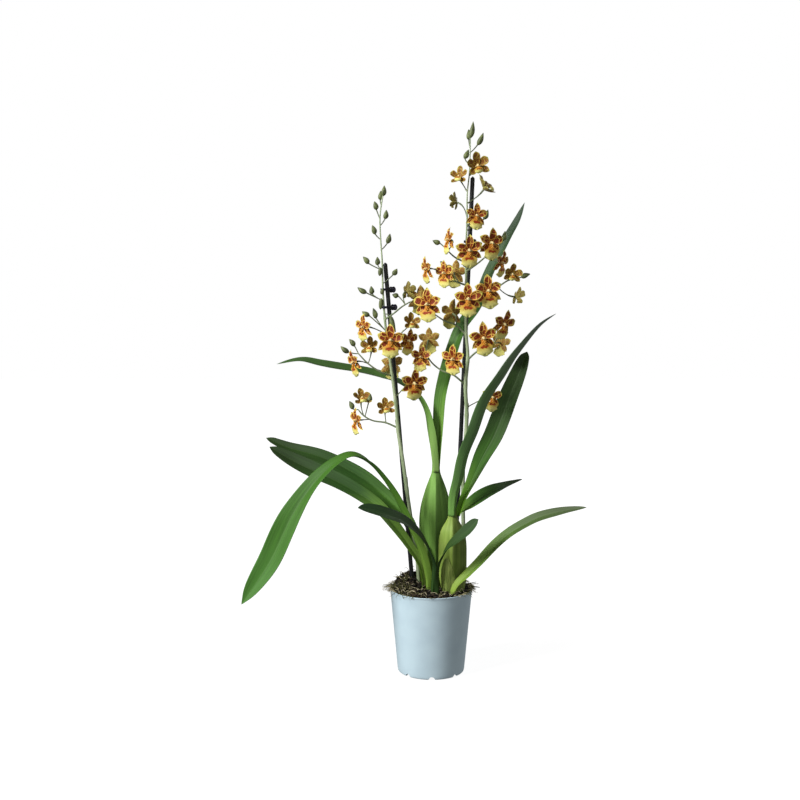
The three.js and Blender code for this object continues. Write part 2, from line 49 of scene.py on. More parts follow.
POT_HEIGHT = 121
POT_RIM_RADIUS = 60
POT_BASE_RADIUS = 48
RIM_BAND = 3
RIM_STEP = 1
DRAIN_HOLES = 8
DRAIN_HOLE_RADIUS = 4
DRAIN_RING_RADIUS = 33
NOTCHES = 8
NOTCH_HEIGHT = 4.5
STAKE_RADIUS = 3.2
LEAF_FOLD = 0.35
LEAF_THICKNESS = 1.1
PETAL_THICKNESS = 0.45
STALK_RADIUS = 0.85
BUD_RADIUS = 3.9
BARK_CHIPS = 760
ROOT_FIBRES = 240
MOSS_TUFTS = 260

# ---------- shape helpers ----------


def smoothstep(x, low, high):
    x = min(max((x - low) / (high - low), 0.0), 1.0)
    return x * x * (3 - 2 * x)


def mix(a, b, share):
    return a + (b - a) * share


def polar(radius, turn, z=0.0):
    return Vector((radius * math.cos(turn), radius * math.sin(turn), z))


def smooth_table(rows, t):
    """A value read from rows of (place, value), on a smooth run through them."""
    k = 1
    while k < len(rows) - 1 and rows[k][0] < t:
        k += 1
    (a, va), (b, vb) = rows[k - 1], rows[k]
    before, after = rows[max(k - 2, 0)], rows[min(k + 1, len(rows) - 1)]
    slope_a = (vb - before[1]) / (b - before[0])
    slope_b = (after[1] - va) / (after[0] - a)
    u = min(max((t - a) / (b - a), 0.0), 1.0)
    span = b - a
    return ((2 * u ** 3 - 3 * u ** 2 + 1) * va + (u ** 3 - 2 * u ** 2 + u) * span * slope_a
            + (3 * u ** 2 - 2 * u ** 3) * vb + (u ** 3 - u ** 2) * span * slope_b)


def swing(right, up, turn):
    """The first direction turned by this angle towards the second."""
    return right * math.cos(turn) + up * math.sin(turn)


def square_to(along):
    """Two directions square to this one and to each other."""
    side = along.orthogonal().normalized()
    return side, along.normalized().cross(side)


def centripetal(a, b, c, d, u):
    """A point between b and c on the smooth run through all four."""
    ta = 0.0
    tb = ta + max((b - a).length, 1e-6) ** 0.5
    tc = tb + max((c - b).length, 1e-6) ** 0.5
    td = tc + max((d - c).length, 1e-6) ** 0.5
    t = mix(tb, tc, u)
    ab = a * ((tb - t) / (tb - ta)) + b * ((t - ta) / (tb - ta))
    bc = b * ((tc - t) / (tc - tb)) + c * ((t - tb) / (tc - tb))
    cd = c * ((td - t) / (td - tc)) + d * ((t - tc) / (td - tc))
    abc = ab * ((tc - t) / (tc - ta)) + bc * ((t - ta) / (tc - ta))
    bcd = bc * ((td - t) / (td - tb)) + cd * ((t - tb) / (td - tb))
    return abc * ((tc - t) / (tc - tb)) + bcd * ((t - tb) / (tc - tb))


class Line:
    """A smooth line through given points, walked evenly from 0 to 1."""

    def __init__(self, points, fine=14):
        knots = [Vector(p) for p in points]
        knots = [2 * knots[0] - knots[1]] + knots + [2 * knots[-1] - knots[-2]]
        walk = []
        for a, b, c, d in zip(knots, knots[1:], knots[2:], knots[3:]):
            walk += [centripetal(a, b, c, d, i / fine) for i in range(fine)]
        walk.append(knots[-2])
        self.walk = walk
        self.far = [0.0]
        for p, q in zip(walk, walk[1:]):
            self.far.append(self.far[-1] + (q - p).length)
        self.length = self.far[-1]

    def at(self, t):
        goal = min(max(t, 0.0), 1.0) * self.length
        for i in range(1, len(self.far)):
            if self.far[i] >= goal:
                step = self.far[i] - self.far[i - 1]
                share = (goal - self.far[i - 1]) / step if step else 0.0
                return self.walk[i - 1].lerp(self.walk[i], share)
        return self.walk[-1].copy()

    def tangent(self, t):
        return (self.at(min(t + 0.01, 1)) - self.at(max(t - 0.01, 0))).normalized()

    def nearest(self, point):
        tried = [self.at(i / 120) for i in range(121)]
        return min(tried, key=lambda p: (p - point).length)


def bow(start, bend, end):
    """A line that leaves its start towards the bend and turns to its end."""
    walk = [start.lerp(bend, i / 10).lerp(bend.lerp(end, i / 10), i / 10) for i in range(11)]
    return Line(walk, 2)


# What a point's material is told where nothing about its place matters.
PLAIN = (0.0, 0.0, 1.0), (0.0, 0.0, 0.0)


class Build:
    """Gathers closed bodies into one mesh, with what each point's material needs to know.

    unit holds (across -1..1, along 0..1, 1 on the front or outside and 0 on the back);
    lay holds (across mm, along mm, a number of the body's own).
    """

    def __init__(self):
        self.points, self.faces, self.finish = [], [], []
        self.unit, self.lay = [], []

    def grid(self, rows, finish, wrap, caps):
        """rows of (point, unit, lay). wrap joins each row's ends, caps closes the first and last rows."""
        first = len(self.points)
        wide = len(rows[0])
        for row in rows:
            for point, unit, lay in row:
                self.points.append(point * MM)
                self.unit.append(unit)
                self.lay.append(lay)
        for r in range(len(rows) - 1):
            for c in range(wide if wrap else wide - 1):
                a = first + r * wide + c
                b = first + r * wide + (c + 1) % wide
                self.faces.append((a, b, b + wide, a + wide))
                self.finish.append(finish)
        if caps:
            last = first + (len(rows) - 1) * wide
            self.faces.append(tuple(range(first + wide - 1, first - 1, -1)))
            self.faces.append(tuple(range(last, last + wide)))
            self.finish += [finish, finish]

    def blade(self, surface, across, along, thickness, finish, own=0.0, size=(1.0, 1.0)):
        """A thin closed sheet about surface(s, t), s from -1 to 1 across and t from 0 to 1 along."""
        step = 0.01
        rows = []
        for j in range(along + 1):
            t = j / along
            front, back = [], []
            for i in range(across + 1):
                s = 2 * i / across - 1
                here = surface(s, t)
                ds = surface(min(s + step, 1), t) - surface(max(s - step, -1), t)
                dt = surface(s, min(t + step, 1)) - surface(s, max(t - step, 0))
                normal = ds.cross(dt)
                normal = normal.normalized() if normal.length > 1e-9 else Vector((0, 0, 1))
                half = thickness / 2 * max(0.25, (1 - abs(s) ** 4)) * max(0.3, 1 - t ** 6)
                lay = (s * size[0] + 13 * own, t * size[1] + 7 * own, own)
                front.append((here + normal * half, (s, t, 1.0), lay))
                back.append((here - normal * half, (s, t, 0.0), lay))
            rows.append(front + back[::-1])
        self.grid(rows, finish, True, True)

    def limb(self, line, radius, sides, steps, finish, own=0.0, squash=1.0):
        """A round closed limb; radius(t) may differ along it."""
        side = None
        rows = []
        for j in range(steps + 1):
            t = j / steps
            along = line.tangent(t)
            if side is None:
                side = along.orthogonal().normalized()
            side = (side - along * side.dot(along)).normalized()
            other = along.cross(side)
            row = []
            for i in range(sides):
                turn = 2 * math.pi * i / sides
                r = radius(t)
                out = swing(side, other * squash, turn)
                row.append((line.at(t) + out * r, (i / sides * 2 - 1, t, 1.0),
                            (turn * r, t * line.length, own)))
            rows.append(row)
        self.grid(rows, finish, True, True)

    def lump(self, at, axes, rows, sides, finish, own=0.0, dent=None):
        """A closed rounded body. axes are its three half-axes, the last from foot to tip."""
        ring = []
        for j in range(rows + 1):
            turn = math.pi * (0.02 + 0.96 * j / rows)
            row = []
            for i in range(sides):
                spin = 2 * math.pi * i / sides
                out = math.sin(turn) * (dent(spin, j / rows) if dent else 1.0)
                p = swing(axes[0], axes[1], spin) * out - axes[2] * math.cos(turn)
                lay = (spin * axes[0].length, j / rows, own)
                row.append((at + p, (i / sides * 2 - 1, j / rows, 1.0), lay))
            ring.append(row)
        self.grid(ring, finish, True, True)

    def shape(self, name):
        """The bare mesh, as an object in the scene."""
        mesh = bpy.data.meshes.new(name)
        mesh.from_pydata(self.points, [], self.faces)
        thing = bpy.data.objects.new(name, mesh)
        bpy.context.scene.collection.objects.link(thing)
        return thing

    def piece(self, name, materials, nodes, slot):
        """The finished piece, which stands for these CAD nodes."""
        piece = self.shape(name)
        mesh = piece.data
        for label, values in (("unit", self.unit), ("lay", self.lay)):
            layer = mesh.attributes.new(label, "FLOAT_VECTOR", "POINT")
            layer.data.foreach_set("vector", [x for v in values for x in v])
        for material in materials:
            mesh.materials.append(material)
        mesh.polygons.foreach_set("material_index", self.finish)
        mesh.shade_smooth()
        mesh.validate()
        mesh.update()
        if nodes:
            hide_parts(*nodes)
        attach(piece, "root")
        return piece


# ---------- material helpers ----------


def colour(code):
    """An sRGB hex value as linear RGBA."""
    parts = [int(code[i:i + 2], 16) / 255 for i in (1, 3, 5)]
    return tuple(c / 12.92 if c <= 0.04045 else ((c + 0.055) / 1.055) ** 2.4 for c in parts) + (1.0,)


def feed(tree, value, socket):
    """Sets a socket's value, or links it to another socket or to the first socket of a node."""
    if isinstance(value, bpy.types.Node):
        value = value.outputs[0]
    if isinstance(value, bpy.types.NodeSocket):
        tree.links.new(value, socket)
    else:
        socket.default_value = value


def add(tree, kind, feeds=(), stops=None, **settings):
    """Adds one node: its settings, what feeds its sockets (by name, or in the node's own order), and its
    ramp's stops."""
    node = tree.nodes.new("ShaderNode" + kind)
    for key, value in settings.items():
        setattr(node, key, value)
    for socket, value in feeds.items() if isinstance(feeds, dict) else enumerate(feeds):
        feed(tree, value, node.inputs[socket])
    if stops:
        ramp = node.color_ramp
        while len(ramp.elements) < len(stops):
            ramp.elements.new(0.5)
        for element, (place, shade) in zip(ramp.elements, stops):
            element.position = place
            element.color = colour(shade)
    return node


def finish_of(name, **surface):
    """A new material: its tree and its surface shader with these socket values."""
    material = bpy.data.materials.new(name)
    material.use_nodes = True
    skin = material.node_tree.nodes["Principled BSDF"]
    for socket, value in surface.items():
        skin.inputs[socket.replace("_", " ")].default_value = value
    return material, material.node_tree, skin


def lay_of(tree):
    """A body's own millimetres: across, along, and a number that tells it from its neighbours."""
    return add(tree, "Attribute", attribute_name="lay").outputs["Vector"]


def place_on(tree):
    """Where a point sits on its body: from edge to edge, from foot to tip, and on the front or the back."""
    unit = add(tree, "Attribute", attribute_name="unit")
    part = add(tree, "SeparateXYZ", (unit.outputs["Vector"],))
    return part.outputs["X"], part.outputs["Y"], part.outputs["Z"]


def grown(tree, lay, per_mm, detail):
    """Uneven growth with this many patches in a millimetre, across and along."""
    spread = add(tree, "VectorMath", (lay, per_mm), operation="MULTIPLY")
    return add(tree, "TexNoise", {"Vector": spread, "Scale": 1.0, "Detail": detail})


def dress(tree, skin, tone, height, strength, depth, rough=None):
    """Joins the finished tone, the roughness and a relief of this depth in metres to the shader."""
    feed(tree, tone, skin.inputs["Base Color"])
    if rough:
        feed(tree, rough, skin.inputs["Roughness"])
    relief = add(tree, "Bump", {"Height": height, "Strength": strength, "Distance": depth})
    feed(tree, relief, skin.inputs["Normal"])


def leaf_blade(name, tones):
    """Orchid leaf blade: a waxy leathery strap that grew with parallel veins some 1.2 mm apart.
    The eye sees fine lengthwise streaks, tones that shift from the pale foot to the tip, a faint midrib and a
    greyer underside."""
    material, tree, skin = finish_of(name, IOR=1.42, Specular_IOR_Level=0.3)
    lay = lay_of(tree)
    across, along, face = place_on(tree)
    veins = grown(tree, lay, (0.85, 0.012, 1.0), 3.0)
    patches = grown(tree, lay, (0.06, 0.02, 1.0), 4.0)
    drift = add(tree, "MapRange", (patches, 0.0, 1.0, -0.12, 0.12))
    drifted = add(tree, "Math", (along, drift), operation="ADD")
    tone = add(tree, "ValToRGB", (drifted,), list(zip((0.04, 0.3, 0.58, 0.92), tones)))
    off_middle = add(tree, "Math", (across,), operation="ABSOLUTE")
    rib = add(tree, "MapRange", (off_middle, 0.01, 0.05, 0.1, 0.0))
    ribbed = add(tree, "MixRGB", (rib, tone, colour("#7f9a5a")))
    below = add(tree, "MapRange", (face, 0.0, 1.0, 0.07, 0.0))
    faces = add(tree, "MixRGB", (below, ribbed, colour("#70884c")))
    streak = add(tree, "MapRange", (veins, 0.25, 0.75, 0.72, 1.26))
    toned = add(tree, "HueSaturation", {"Value": streak, "Color": faces})
    rough = add(tree, "MapRange", (patches, 0.0, 1.0, 0.46, 0.62))
    dress(tree, skin, toned, veins, 0.35, 0.0006, rough)
    return material


def tepal_skin(name, ground_tones, brown_tones, back_tones):
    """Sepal and petal skin: thin matte tissue, grown with mahogany blocks some 7 mm wide between fine cream
    lines. The eye sees a tiger pattern with yellow edges, yellow-green points and a duller back."""
    material, tree, skin = finish_of(name, IOR=1.4, Roughness=0.55, Specular_IOR_Level=0.3, Sheen_Weight=0.05)
    lay = lay_of(tree)
    across, along, face = place_on(tree)
    wander = add(tree, "TexNoise", {"Vector": lay, "Scale": 0.3, "Detail": 3.0})
    drift = add(tree, "VectorMath", (wander.outputs["Color"], (2.2, 2.2, 0.0)), operation="MULTIPLY")
    moved = add(tree, "VectorMath", (lay, drift), operation="ADD")
    cells = add(tree, "TexVoronoi", {"Vector": moved, "Scale": 0.135, "Randomness": 0.75},
                feature="DISTANCE_TO_EDGE", voronoi_dimensions="2D")
    inside = add(tree, "MapRange", (cells, 0.04, 0.075))
    ragged = add(tree, "MapRange", (wander, 0.3, 0.7, -0.05, 0.05))
    off_middle = add(tree, "Math", (across,), operation="ABSOLUTE")
    sideways = add(tree, "Math", (off_middle, ragged), operation="ADD")
    in_edge = add(tree, "MapRange", (sideways, 0.74, 0.82, 1.0, 0.0))
    tipward = add(tree, "Math", (along, ragged), operation="ADD")
    in_tip = add(tree, "MapRange", (tipward, 0.82, 0.88, 1.0, 0.0))
    block = add(tree, "Math", (inside, in_edge), operation="MULTIPLY")
    blocks = add(tree, "Math", (block, in_tip), operation="MULTIPLY")
    ground = add(tree, "ValToRGB", (along,), list(zip((0.05, 0.45, 0.8, 1.0), ground_tones)))
    grain = add(tree, "TexNoise", {"Vector": lay, "Scale": 0.8, "Detail": 5.0})
    brown = add(tree, "ValToRGB", (grain,), list(zip((0.32, 0.5, 0.68), brown_tones)))
    front = add(tree, "MixRGB", (blocks, ground, brown))
    faint = add(tree, "Math", (blocks, 0.7), operation="MULTIPLY")
    back = add(tree, "MixRGB", (faint, colour(back_tones[0]), colour(back_tones[1])))
    both = add(tree, "MixRGB", (face, back, front))
    dress(tree, skin, both, grain, 0.25, 0.0004)
    return material


def lip_skin():
    """Lip skin: a broad thin skirt, pale yellow-green, with a red-brown band under an orange throat."""
    material, tree, skin = finish_of("skirt_lip_skin", IOR=1.4, Roughness=0.55, Specular_IOR_Level=0.3,
                                     Sheen_Weight=0.05)
    lay = lay_of(tree)
    across, along, face = place_on(tree)
    veins = grown(tree, lay, (1.2, 0.15, 1.0), 3.0)
    wobble = add(tree, "MapRange", (veins, 0.0, 1.0, -0.05, 0.05))
    wobbled = add(tree, "Math", (along, wobble), operation="ADD")
    skirt = add(tree, "ValToRGB", (wobbled,), [(0.0, "#b8701c"), (0.25, "#cc8226"), (0.4, "#d49e38"),
                                               (0.54, "#dcc45c"), (0.75, "#e6dd84"), (1.0, "#dcdb7c")])
    blots = add(tree, "TexNoise", {"Vector": lay, "Scale": 0.35, "Detail": 3.0})
    ragged = add(tree, "MapRange", (blots, 0.3, 0.7, -0.1, 0.1))
    off_middle = add(tree, "Math", (across,), operation="ABSOLUTE")
    sideways = add(tree, "Math", (off_middle, ragged), operation="ADD")
    in_middle = add(tree, "MapRange", (sideways, 0.5, 0.66, 1.0, 0.0))
    slanted = add(tree, "Math", (ragged, 0.6), operation="MULTIPLY")
    lengthways = add(tree, "Math", (along, slanted), operation="ADD")
    below = add(tree, "MapRange", (lengthways, 0.37, 0.41))
    above = add(tree, "MapRange", (lengthways, 0.51, 0.58, 1.0, 0.0))
    band = add(tree, "Math", (below, above), operation="MULTIPLY")
    bands = add(tree, "Math", (band, in_middle), operation="MULTIPLY")
    marked = add(tree, "MixRGB", (bands, skirt, colour("#94340e")))
    both = add(tree, "MixRGB", (face, colour("#c2bd68"), marked))
    dress(tree, skin, both, veins, 0.4, 0.0005)
    return material


def plain_tissue(name, dark, light, scale, rough, bump=0.3, streak=1.0):
    """Fleshy plant tissue whose tone wanders between two shades, in patches scale per mm across and streak
    times shorter along."""
    material, tree, skin = finish_of(name, IOR=1.42, Roughness=rough, Coat_Weight=0.06, Coat_Roughness=0.4)
    wander = grown(tree, lay_of(tree), (scale, scale * streak, 1.0), 4.0)
    tone = add(tree, "ValToRGB", (wander,), [(0.3, dark), (0.7, light)])
    dress(tree, skin, tone, wander, bump, 0.0004)
    return material


def bulb_skin(name, shadow, flesh, ridge):
    """Pseudobulb skin: smooth fleshy green with faint lengthwise ridges 3 mm apart and small brown scars,
    with painted light:
    the left half is painted brighter and the right half darker, split at the front keel, as a lamp from the
    left lights it."""
    material, tree, skin = finish_of(name, IOR=1.42, Specular_IOR_Level=0.35, Roughness=0.5)
    lay = lay_of(tree)
    across, along, _ = place_on(tree)
    ridges = grown(tree, lay, (0.32, 0.006, 1.0), 2.0)
    cloudy = add(tree, "TexNoise", {"Vector": lay, "Scale": 0.05, "Detail": 4.0})
    blend = add(tree, "MixRGB", (0.45, ridges.outputs["Color"], cloudy.outputs["Color"]))
    tone = add(tree, "ValToRGB", (blend,), [(0.3, shadow), (0.5, flesh), (0.7, ridge)])
    low = add(tree, "MapRange", (along, 0.0, 0.3, 0.4, 0.0))
    footed = add(tree, "MixRGB", (low, tone, colour("#70803c")))
    # painted light: the left half of the bulb is painted up to 1.6 times brighter and the right half 0.8
    # times as bright, as if lit from the left
    painted_light_side = add(tree, "MapRange", (across, -0.1, 0.1, 0.8, 1.6))
    painted_light_tone = add(tree, "HueSaturation", {"Value": painted_light_side, "Color": footed})
    dots = add(tree, "TexVoronoi", {"Vector": lay, "Scale": 0.2})
    scar = add(tree, "MapRange", (dots, 0.05, 0.12, 0.7, 0.0))
    rare = add(tree, "Math", (dots.outputs["Color"], 0.62), operation="GREATER_THAN")
    scars = add(tree, "Math", (scar, rare), operation="MULTIPLY")
    scarred = add(tree, "MixRGB", (scars, painted_light_tone, colour("#4c3a1c")))
    dress(tree, skin, scarred, ridges, 0.3, 0.0008)
    return material


def stem_skin():
    """Flower stem skin: smooth olive-green stalk, darker and browner on the thin side stalks."""
    material, tree, skin = finish_of("flower_stem_skin", IOR=1.42, Roughness=0.45, Coat_Weight=0.1)
    lay = lay_of(tree)
    part = add(tree, "SeparateXYZ", (lay,))
    wander = grown(tree, lay, (0.3, 0.02, 0.0), 4.0)
    thick = add(tree, "ValToRGB", (wander,), [(0.3, "#7c9068"), (0.7, "#b2be98")])
    thin = add(tree, "ValToRGB", (wander,), [(0.3, "#3c462c"), (0.7, "#7c8660")])
    both = add(tree, "MixRGB", (part.outputs["Z"], thick, thin))
    dress(tree, skin, both, wander, 0.3, 0.0003)
    return material


def moulded_plastic(name, shade, deep, rough, scuffs=0.0):
    """Injection-moulded plastic: an even satin skin with a faint orange-peel 0.8 mm across and soft handling
    marks."""
    material, tree, skin = finish_of(name, IOR=1.49)
    place = add(tree, "TexCoord").outputs["Object"]
    peel = add(tree, "TexNoise", {"Vector": place, "Scale": 1250.0, "Detail": 2.0})
    smudge = add(tree, "TexNoise", {"Vector": place, "Scale": 38.0, "Detail": 5.0})
    tone = add(tree, "ValToRGB", (smudge,), [(0.35, deep), (0.62, shade)])
    gloss = add(tree, "MapRange", (smudge, 0.3, 0.7, rough - 0.06, rough + 0.1))
    dress(tree, skin, tone, peel, 0.12 + scuffs, 0.0002, gloss)
    return material


def bark_finish(name, dark, mid, pale):
    """Composted pine bark: broken flakes, dark and rough, with paler torn fibres 0.5 mm wide."""
    material, tree, skin = finish_of(name, IOR=1.4, Roughness=0.9)
    place = add(tree, "TexCoord").outputs["Object"]
    part = add(tree, "SeparateXYZ", (lay_of(tree),))
    fibres = add(tree, "TexNoise", {"Vector": place, "Scale": 420.0, "Detail": 6.0})
    both = add(tree, "Math", (fibres, part.outputs["Z"]), operation="ADD")
    tone = add(tree, "ValToRGB", (both,), [(0.3, dark), (0.6, mid), (0.95, pale)])
    dress(tree, skin, tone, fibres, 0.8, 0.001)
    return material


# ---------- the materials ----------

POT_PLASTIC = moulded_plastic("pale_blue_polypropylene", "#c3d9e2", "#bdd3dd", 0.5)
STAKE_COAT = moulded_plastic("dark_stake_coating", "#14181a", "#0c0f12", 0.38, 0.15)
CLIP_PLASTIC = moulded_plastic("navy_clip_plastic", "#171b33", "#10131f", 0.3)
# painted highlight: the pale grey-purple of the finger pads stands in for the light they catch
CLIP_PAD_HIGHLIGHT = moulded_plastic("clip_pad_painted_highlight", "#6a6684", "#3a3850", 0.4)
BACK_BULB = bulb_skin("back_pseudobulb_skin", "#567a34", "#648a3e", "#72984a")
FRONT_BULB = bulb_skin("front_pseudobulb_skin", "#566e28", "#6c8236", "#84944c")
DRY_SHEATH = plain_tissue("green_papery_sheath", "#5f7830", "#96a654", 0.5, 0.6, 0.5, 0.08)
STEM = stem_skin()
BRACT = plain_tissue("pale_bract", "#8f9b70", "#c6ccaa", 0.5, 0.6, 0.4, 0.1)
BUD = plain_tissue("closed_bud_skin", "#323c24", "#78824c", 0.3, 0.55, 0.4, 0.35)
TEPAL = tepal_skin("tiger_sepal_skin", ("#cc8632", "#dcab48", "#e2c75e", "#b4b64c"),
                   ("#4e1606", "#7e2c0d", "#a85422"), ("#b9a550", "#85441a"))
YOUNG_TEPAL = tepal_skin("young_sepal_skin", ("#a8802c", "#b4983e", "#b3a548", "#8f9842"),
                         ("#5a3010", "#80501c", "#9c702c"), ("#a09a4c", "#7a5a26"))
LIP = lip_skin()
COLUMN = plain_tissue("cream_column", "#cfae62", "#ece0ac", 0.5, 0.45)
CALLUS = plain_tissue("orange_callus", "#b9641a", "#e0ac34", 0.8, 0.45)
BARK = bark_finish("composted_bark", "#100c07", "#2a2016", "#6a5a3c")
STRAW = plain_tissue("dry_root_fibre", "#93845f", "#e2d8b8", 0.8, 0.8)
MOSS = plain_tissue("brown_moss", "#33301a", "#6d6c3c", 0.8, 0.9)

# ---------- pot ----------


def pot_radius(z):
    return mix(POT_BASE_RADIUS, POT_RIM_RADIUS - RIM_STEP, z / (POT_HEIGHT - RIM_BAND))


def make_pot():
    """Thin tapered wall that flares to a small rounded lip, standing on a foot ring with air notches round a
    raised floor with drain holes."""
    wall, raised = 1.3, 5.2
    bottom = raised + wall
    outline = [(r, raised) for r in (0, 15, 27, 36, 41)] + [(43.2, raised - 1), (43.9, 2.5)]
    eighths = [a * math.pi / 8 for a in range(-3, 9)]
    outline += [(POT_BASE_RADIUS - 2.3 + 2.3 * math.sin(a), 2.3 - 2.3 * math.cos(a)) for a in eighths[:8]]
    outline += [(pot_radius(z), z) for z in (4, 6, 9, 14, 24, 40, 60, 80, 100, 110, 114)]
    lip = POT_RIM_RADIUS - 0.8
    outline += [(pot_radius(116) + 0.15, 116), (lip - 0.1, 118), (lip + 0.35, 119.2)]
    outline += [(lip + 0.8 * math.cos(a), POT_HEIGHT - 0.8 + 0.8 * math.sin(a)) for a in
                (i * math.pi / 8 for i in range(-1, 9))]
    outline += [(pot_radius(z) - wall, z) for z in (117, 100, 60, 30, 14)]
    outline += [(POT_BASE_RADIUS - 2, 9), (POT_BASE_RADIUS - 6, bottom), (20, bottom), (0, bottom)]
    sides = 192
    build = Build()
    build.grid([[(polar(max(r, 0.01), 2 * math.pi * i / sides, z), (0.0, z / POT_HEIGHT, 1.0), (0.0, z, 0.0))
                 for i in range(sides)] for r, z in outline], 0, True, True)
    pot = build.piece("pot_shell", [POT_PLASTIC], ["pot"], "pot")
    drill = Build()
    for i in range(DRAIN_HOLES):
        turn = (i + 0.5) * 2 * math.pi / DRAIN_HOLES
        ends = [polar(DRAIN_RING_RADIUS, turn, z) for z in (3, 10)]
        drill.limb(Line(ends), lambda t: DRAIN_HOLE_RADIUS, 24, 1, 0)
    right = [(0.6, NOTCH_HEIGHT), (1.9, 4.2), (3.1, 3.2), (4.2, 1.6), (6.6, -3)]
    arch = [(-x, z) for x, z in right[::-1]] + right
    for i in range(NOTCHES):
        turn = Matrix.Rotation(i * 2 * math.pi / NOTCHES, 3, "Z")
        drill.grid([[(turn @ Vector((x, -POT_BASE_RADIUS + y, z)), *PLAIN) for x, z in arch]
                    for y in (-5, 6)], 0, True, True)
    cutter = drill.shape("drill")
    cut = pot.modifiers.new("drain", "BOOLEAN")
    cut.object = cutter
    cut.operation = "DIFFERENCE"
    cut.solver = "EXACT"
    bpy.context.view_layer.update()
    pot.data = bpy.data.meshes.new_from_object(pot.evaluated_get(bpy.context.evaluated_depsgraph_get()))
    pot.modifiers.clear()
    bpy.data.objects.remove(cutter)
    pot.data.set_sharp_from_angle(angle=math.radians(40))


# ---------- bark, roots and moss ----------

# Where the mix is heaped up, how high, and how wide the heap is.
HEAP = {"x": -27, "y": 13, "rise": 20, "spread": 26}


def bark_top(x, y):
    """How high the mix stands at a place in the pot."""
    r = math.hypot(x, y)
    mound = HEAP["rise"] * math.exp(-((x - HEAP["x"]) ** 2 + (y - HEAP["y"]) ** 2) / HEAP["spread"] ** 2)
    chips = 1.8 * math.sin(x * 0.31 + 1.2) * math.cos(y * 0.27) + 1.1 * math.sin(x * 0.17 - y * 0.43)
    inside = smoothstep(POT_RIM_RADIUS - 3 - r, 0, 9)
    return POT_HEIGHT - 3 + inside * (2.5 + mound + chips)


def crumbs(x, y):
    """The loose top of the mix, swept a little up against the lip."""
    return bark_top(x, y) - 1 + 3.5 * smoothstep(math.hypot(x, y), 42, 55)


def bark_chip(build, at, size, own):
    """A broken flake: a box with its corners pulled about."""
    spun = Matrix.Rotation(random.uniform(0, 6.3), 3, "Z")
    turn = spun @ Matrix.Rotation(random.uniform(-0.7, 0.7), 3, "X")
    rows = []
    for k, grow in ((-1.0, 0.6), (-0.5, 1.0), (0.5, 1.0), (1.0, 0.65)):
        row = []
        for i in range(7):
            spin = 2 * math.pi * i / 7
            wide = grow * random.uniform(0.75, 1.15)
            p = Vector((math.cos(spin) * size * wide, math.sin(spin) * size * 0.55 * wide, k * size * 0.22))
            row.append((at + turn @ p, (0.0, 0.0, 1.0), (0.0, 0.0, own)))
        rows.append(row)
    build.grid(rows, 0, True, True)


def fibre(build, points, width, taper, finish):
    """A root or a thread of moss through these points, thinner towards its end."""
    build.limb(Line(points, 5), lambda t: width * (1 - taper * t), 5, 7, finish, random.uniform(0, 9))


def scattered(reach):
    """A random spot on top of the mix, evenly spread out to this radius."""
    r = reach * math.sqrt(random.random())
    spot = polar(r, random.uniform(0, 2 * math.pi))
    return r, spot + Vector((0, 0, crumbs(spot.x, spot.y)))


def mix_core(build):
    """The solid heart of the mix, rough on top."""
    sides, edge, rings = 72, 56.6, 24
    rows = [(0.05, 8), (30, 8), (38, 9), (44, 22), (54.0, 100), (edge, POT_HEIGHT - 4)]
    rows += [(edge * (1 - k / 23.3), None) for k in range(rings)]
    shaped = []
    for r, z in rows:
        ring = []
        for i in range(sides):
            p = polar(r, 2 * math.pi * i / sides)
            rough = 1.6 * noise.noise(Vector((p.x * 0.16, p.y * 0.16, 3)))
            p.z = crumbs(p.x, p.y) - 2 + rough if z is None else z
            ring.append((p, (0.0, 0.0, 1.0), (0.0, 0.0, -0.12)))
        shaped.append(ring)
    build.grid(shaped, 0, True, True)


# The side of the pot that faces the eye, in degrees.
FRONT = -90


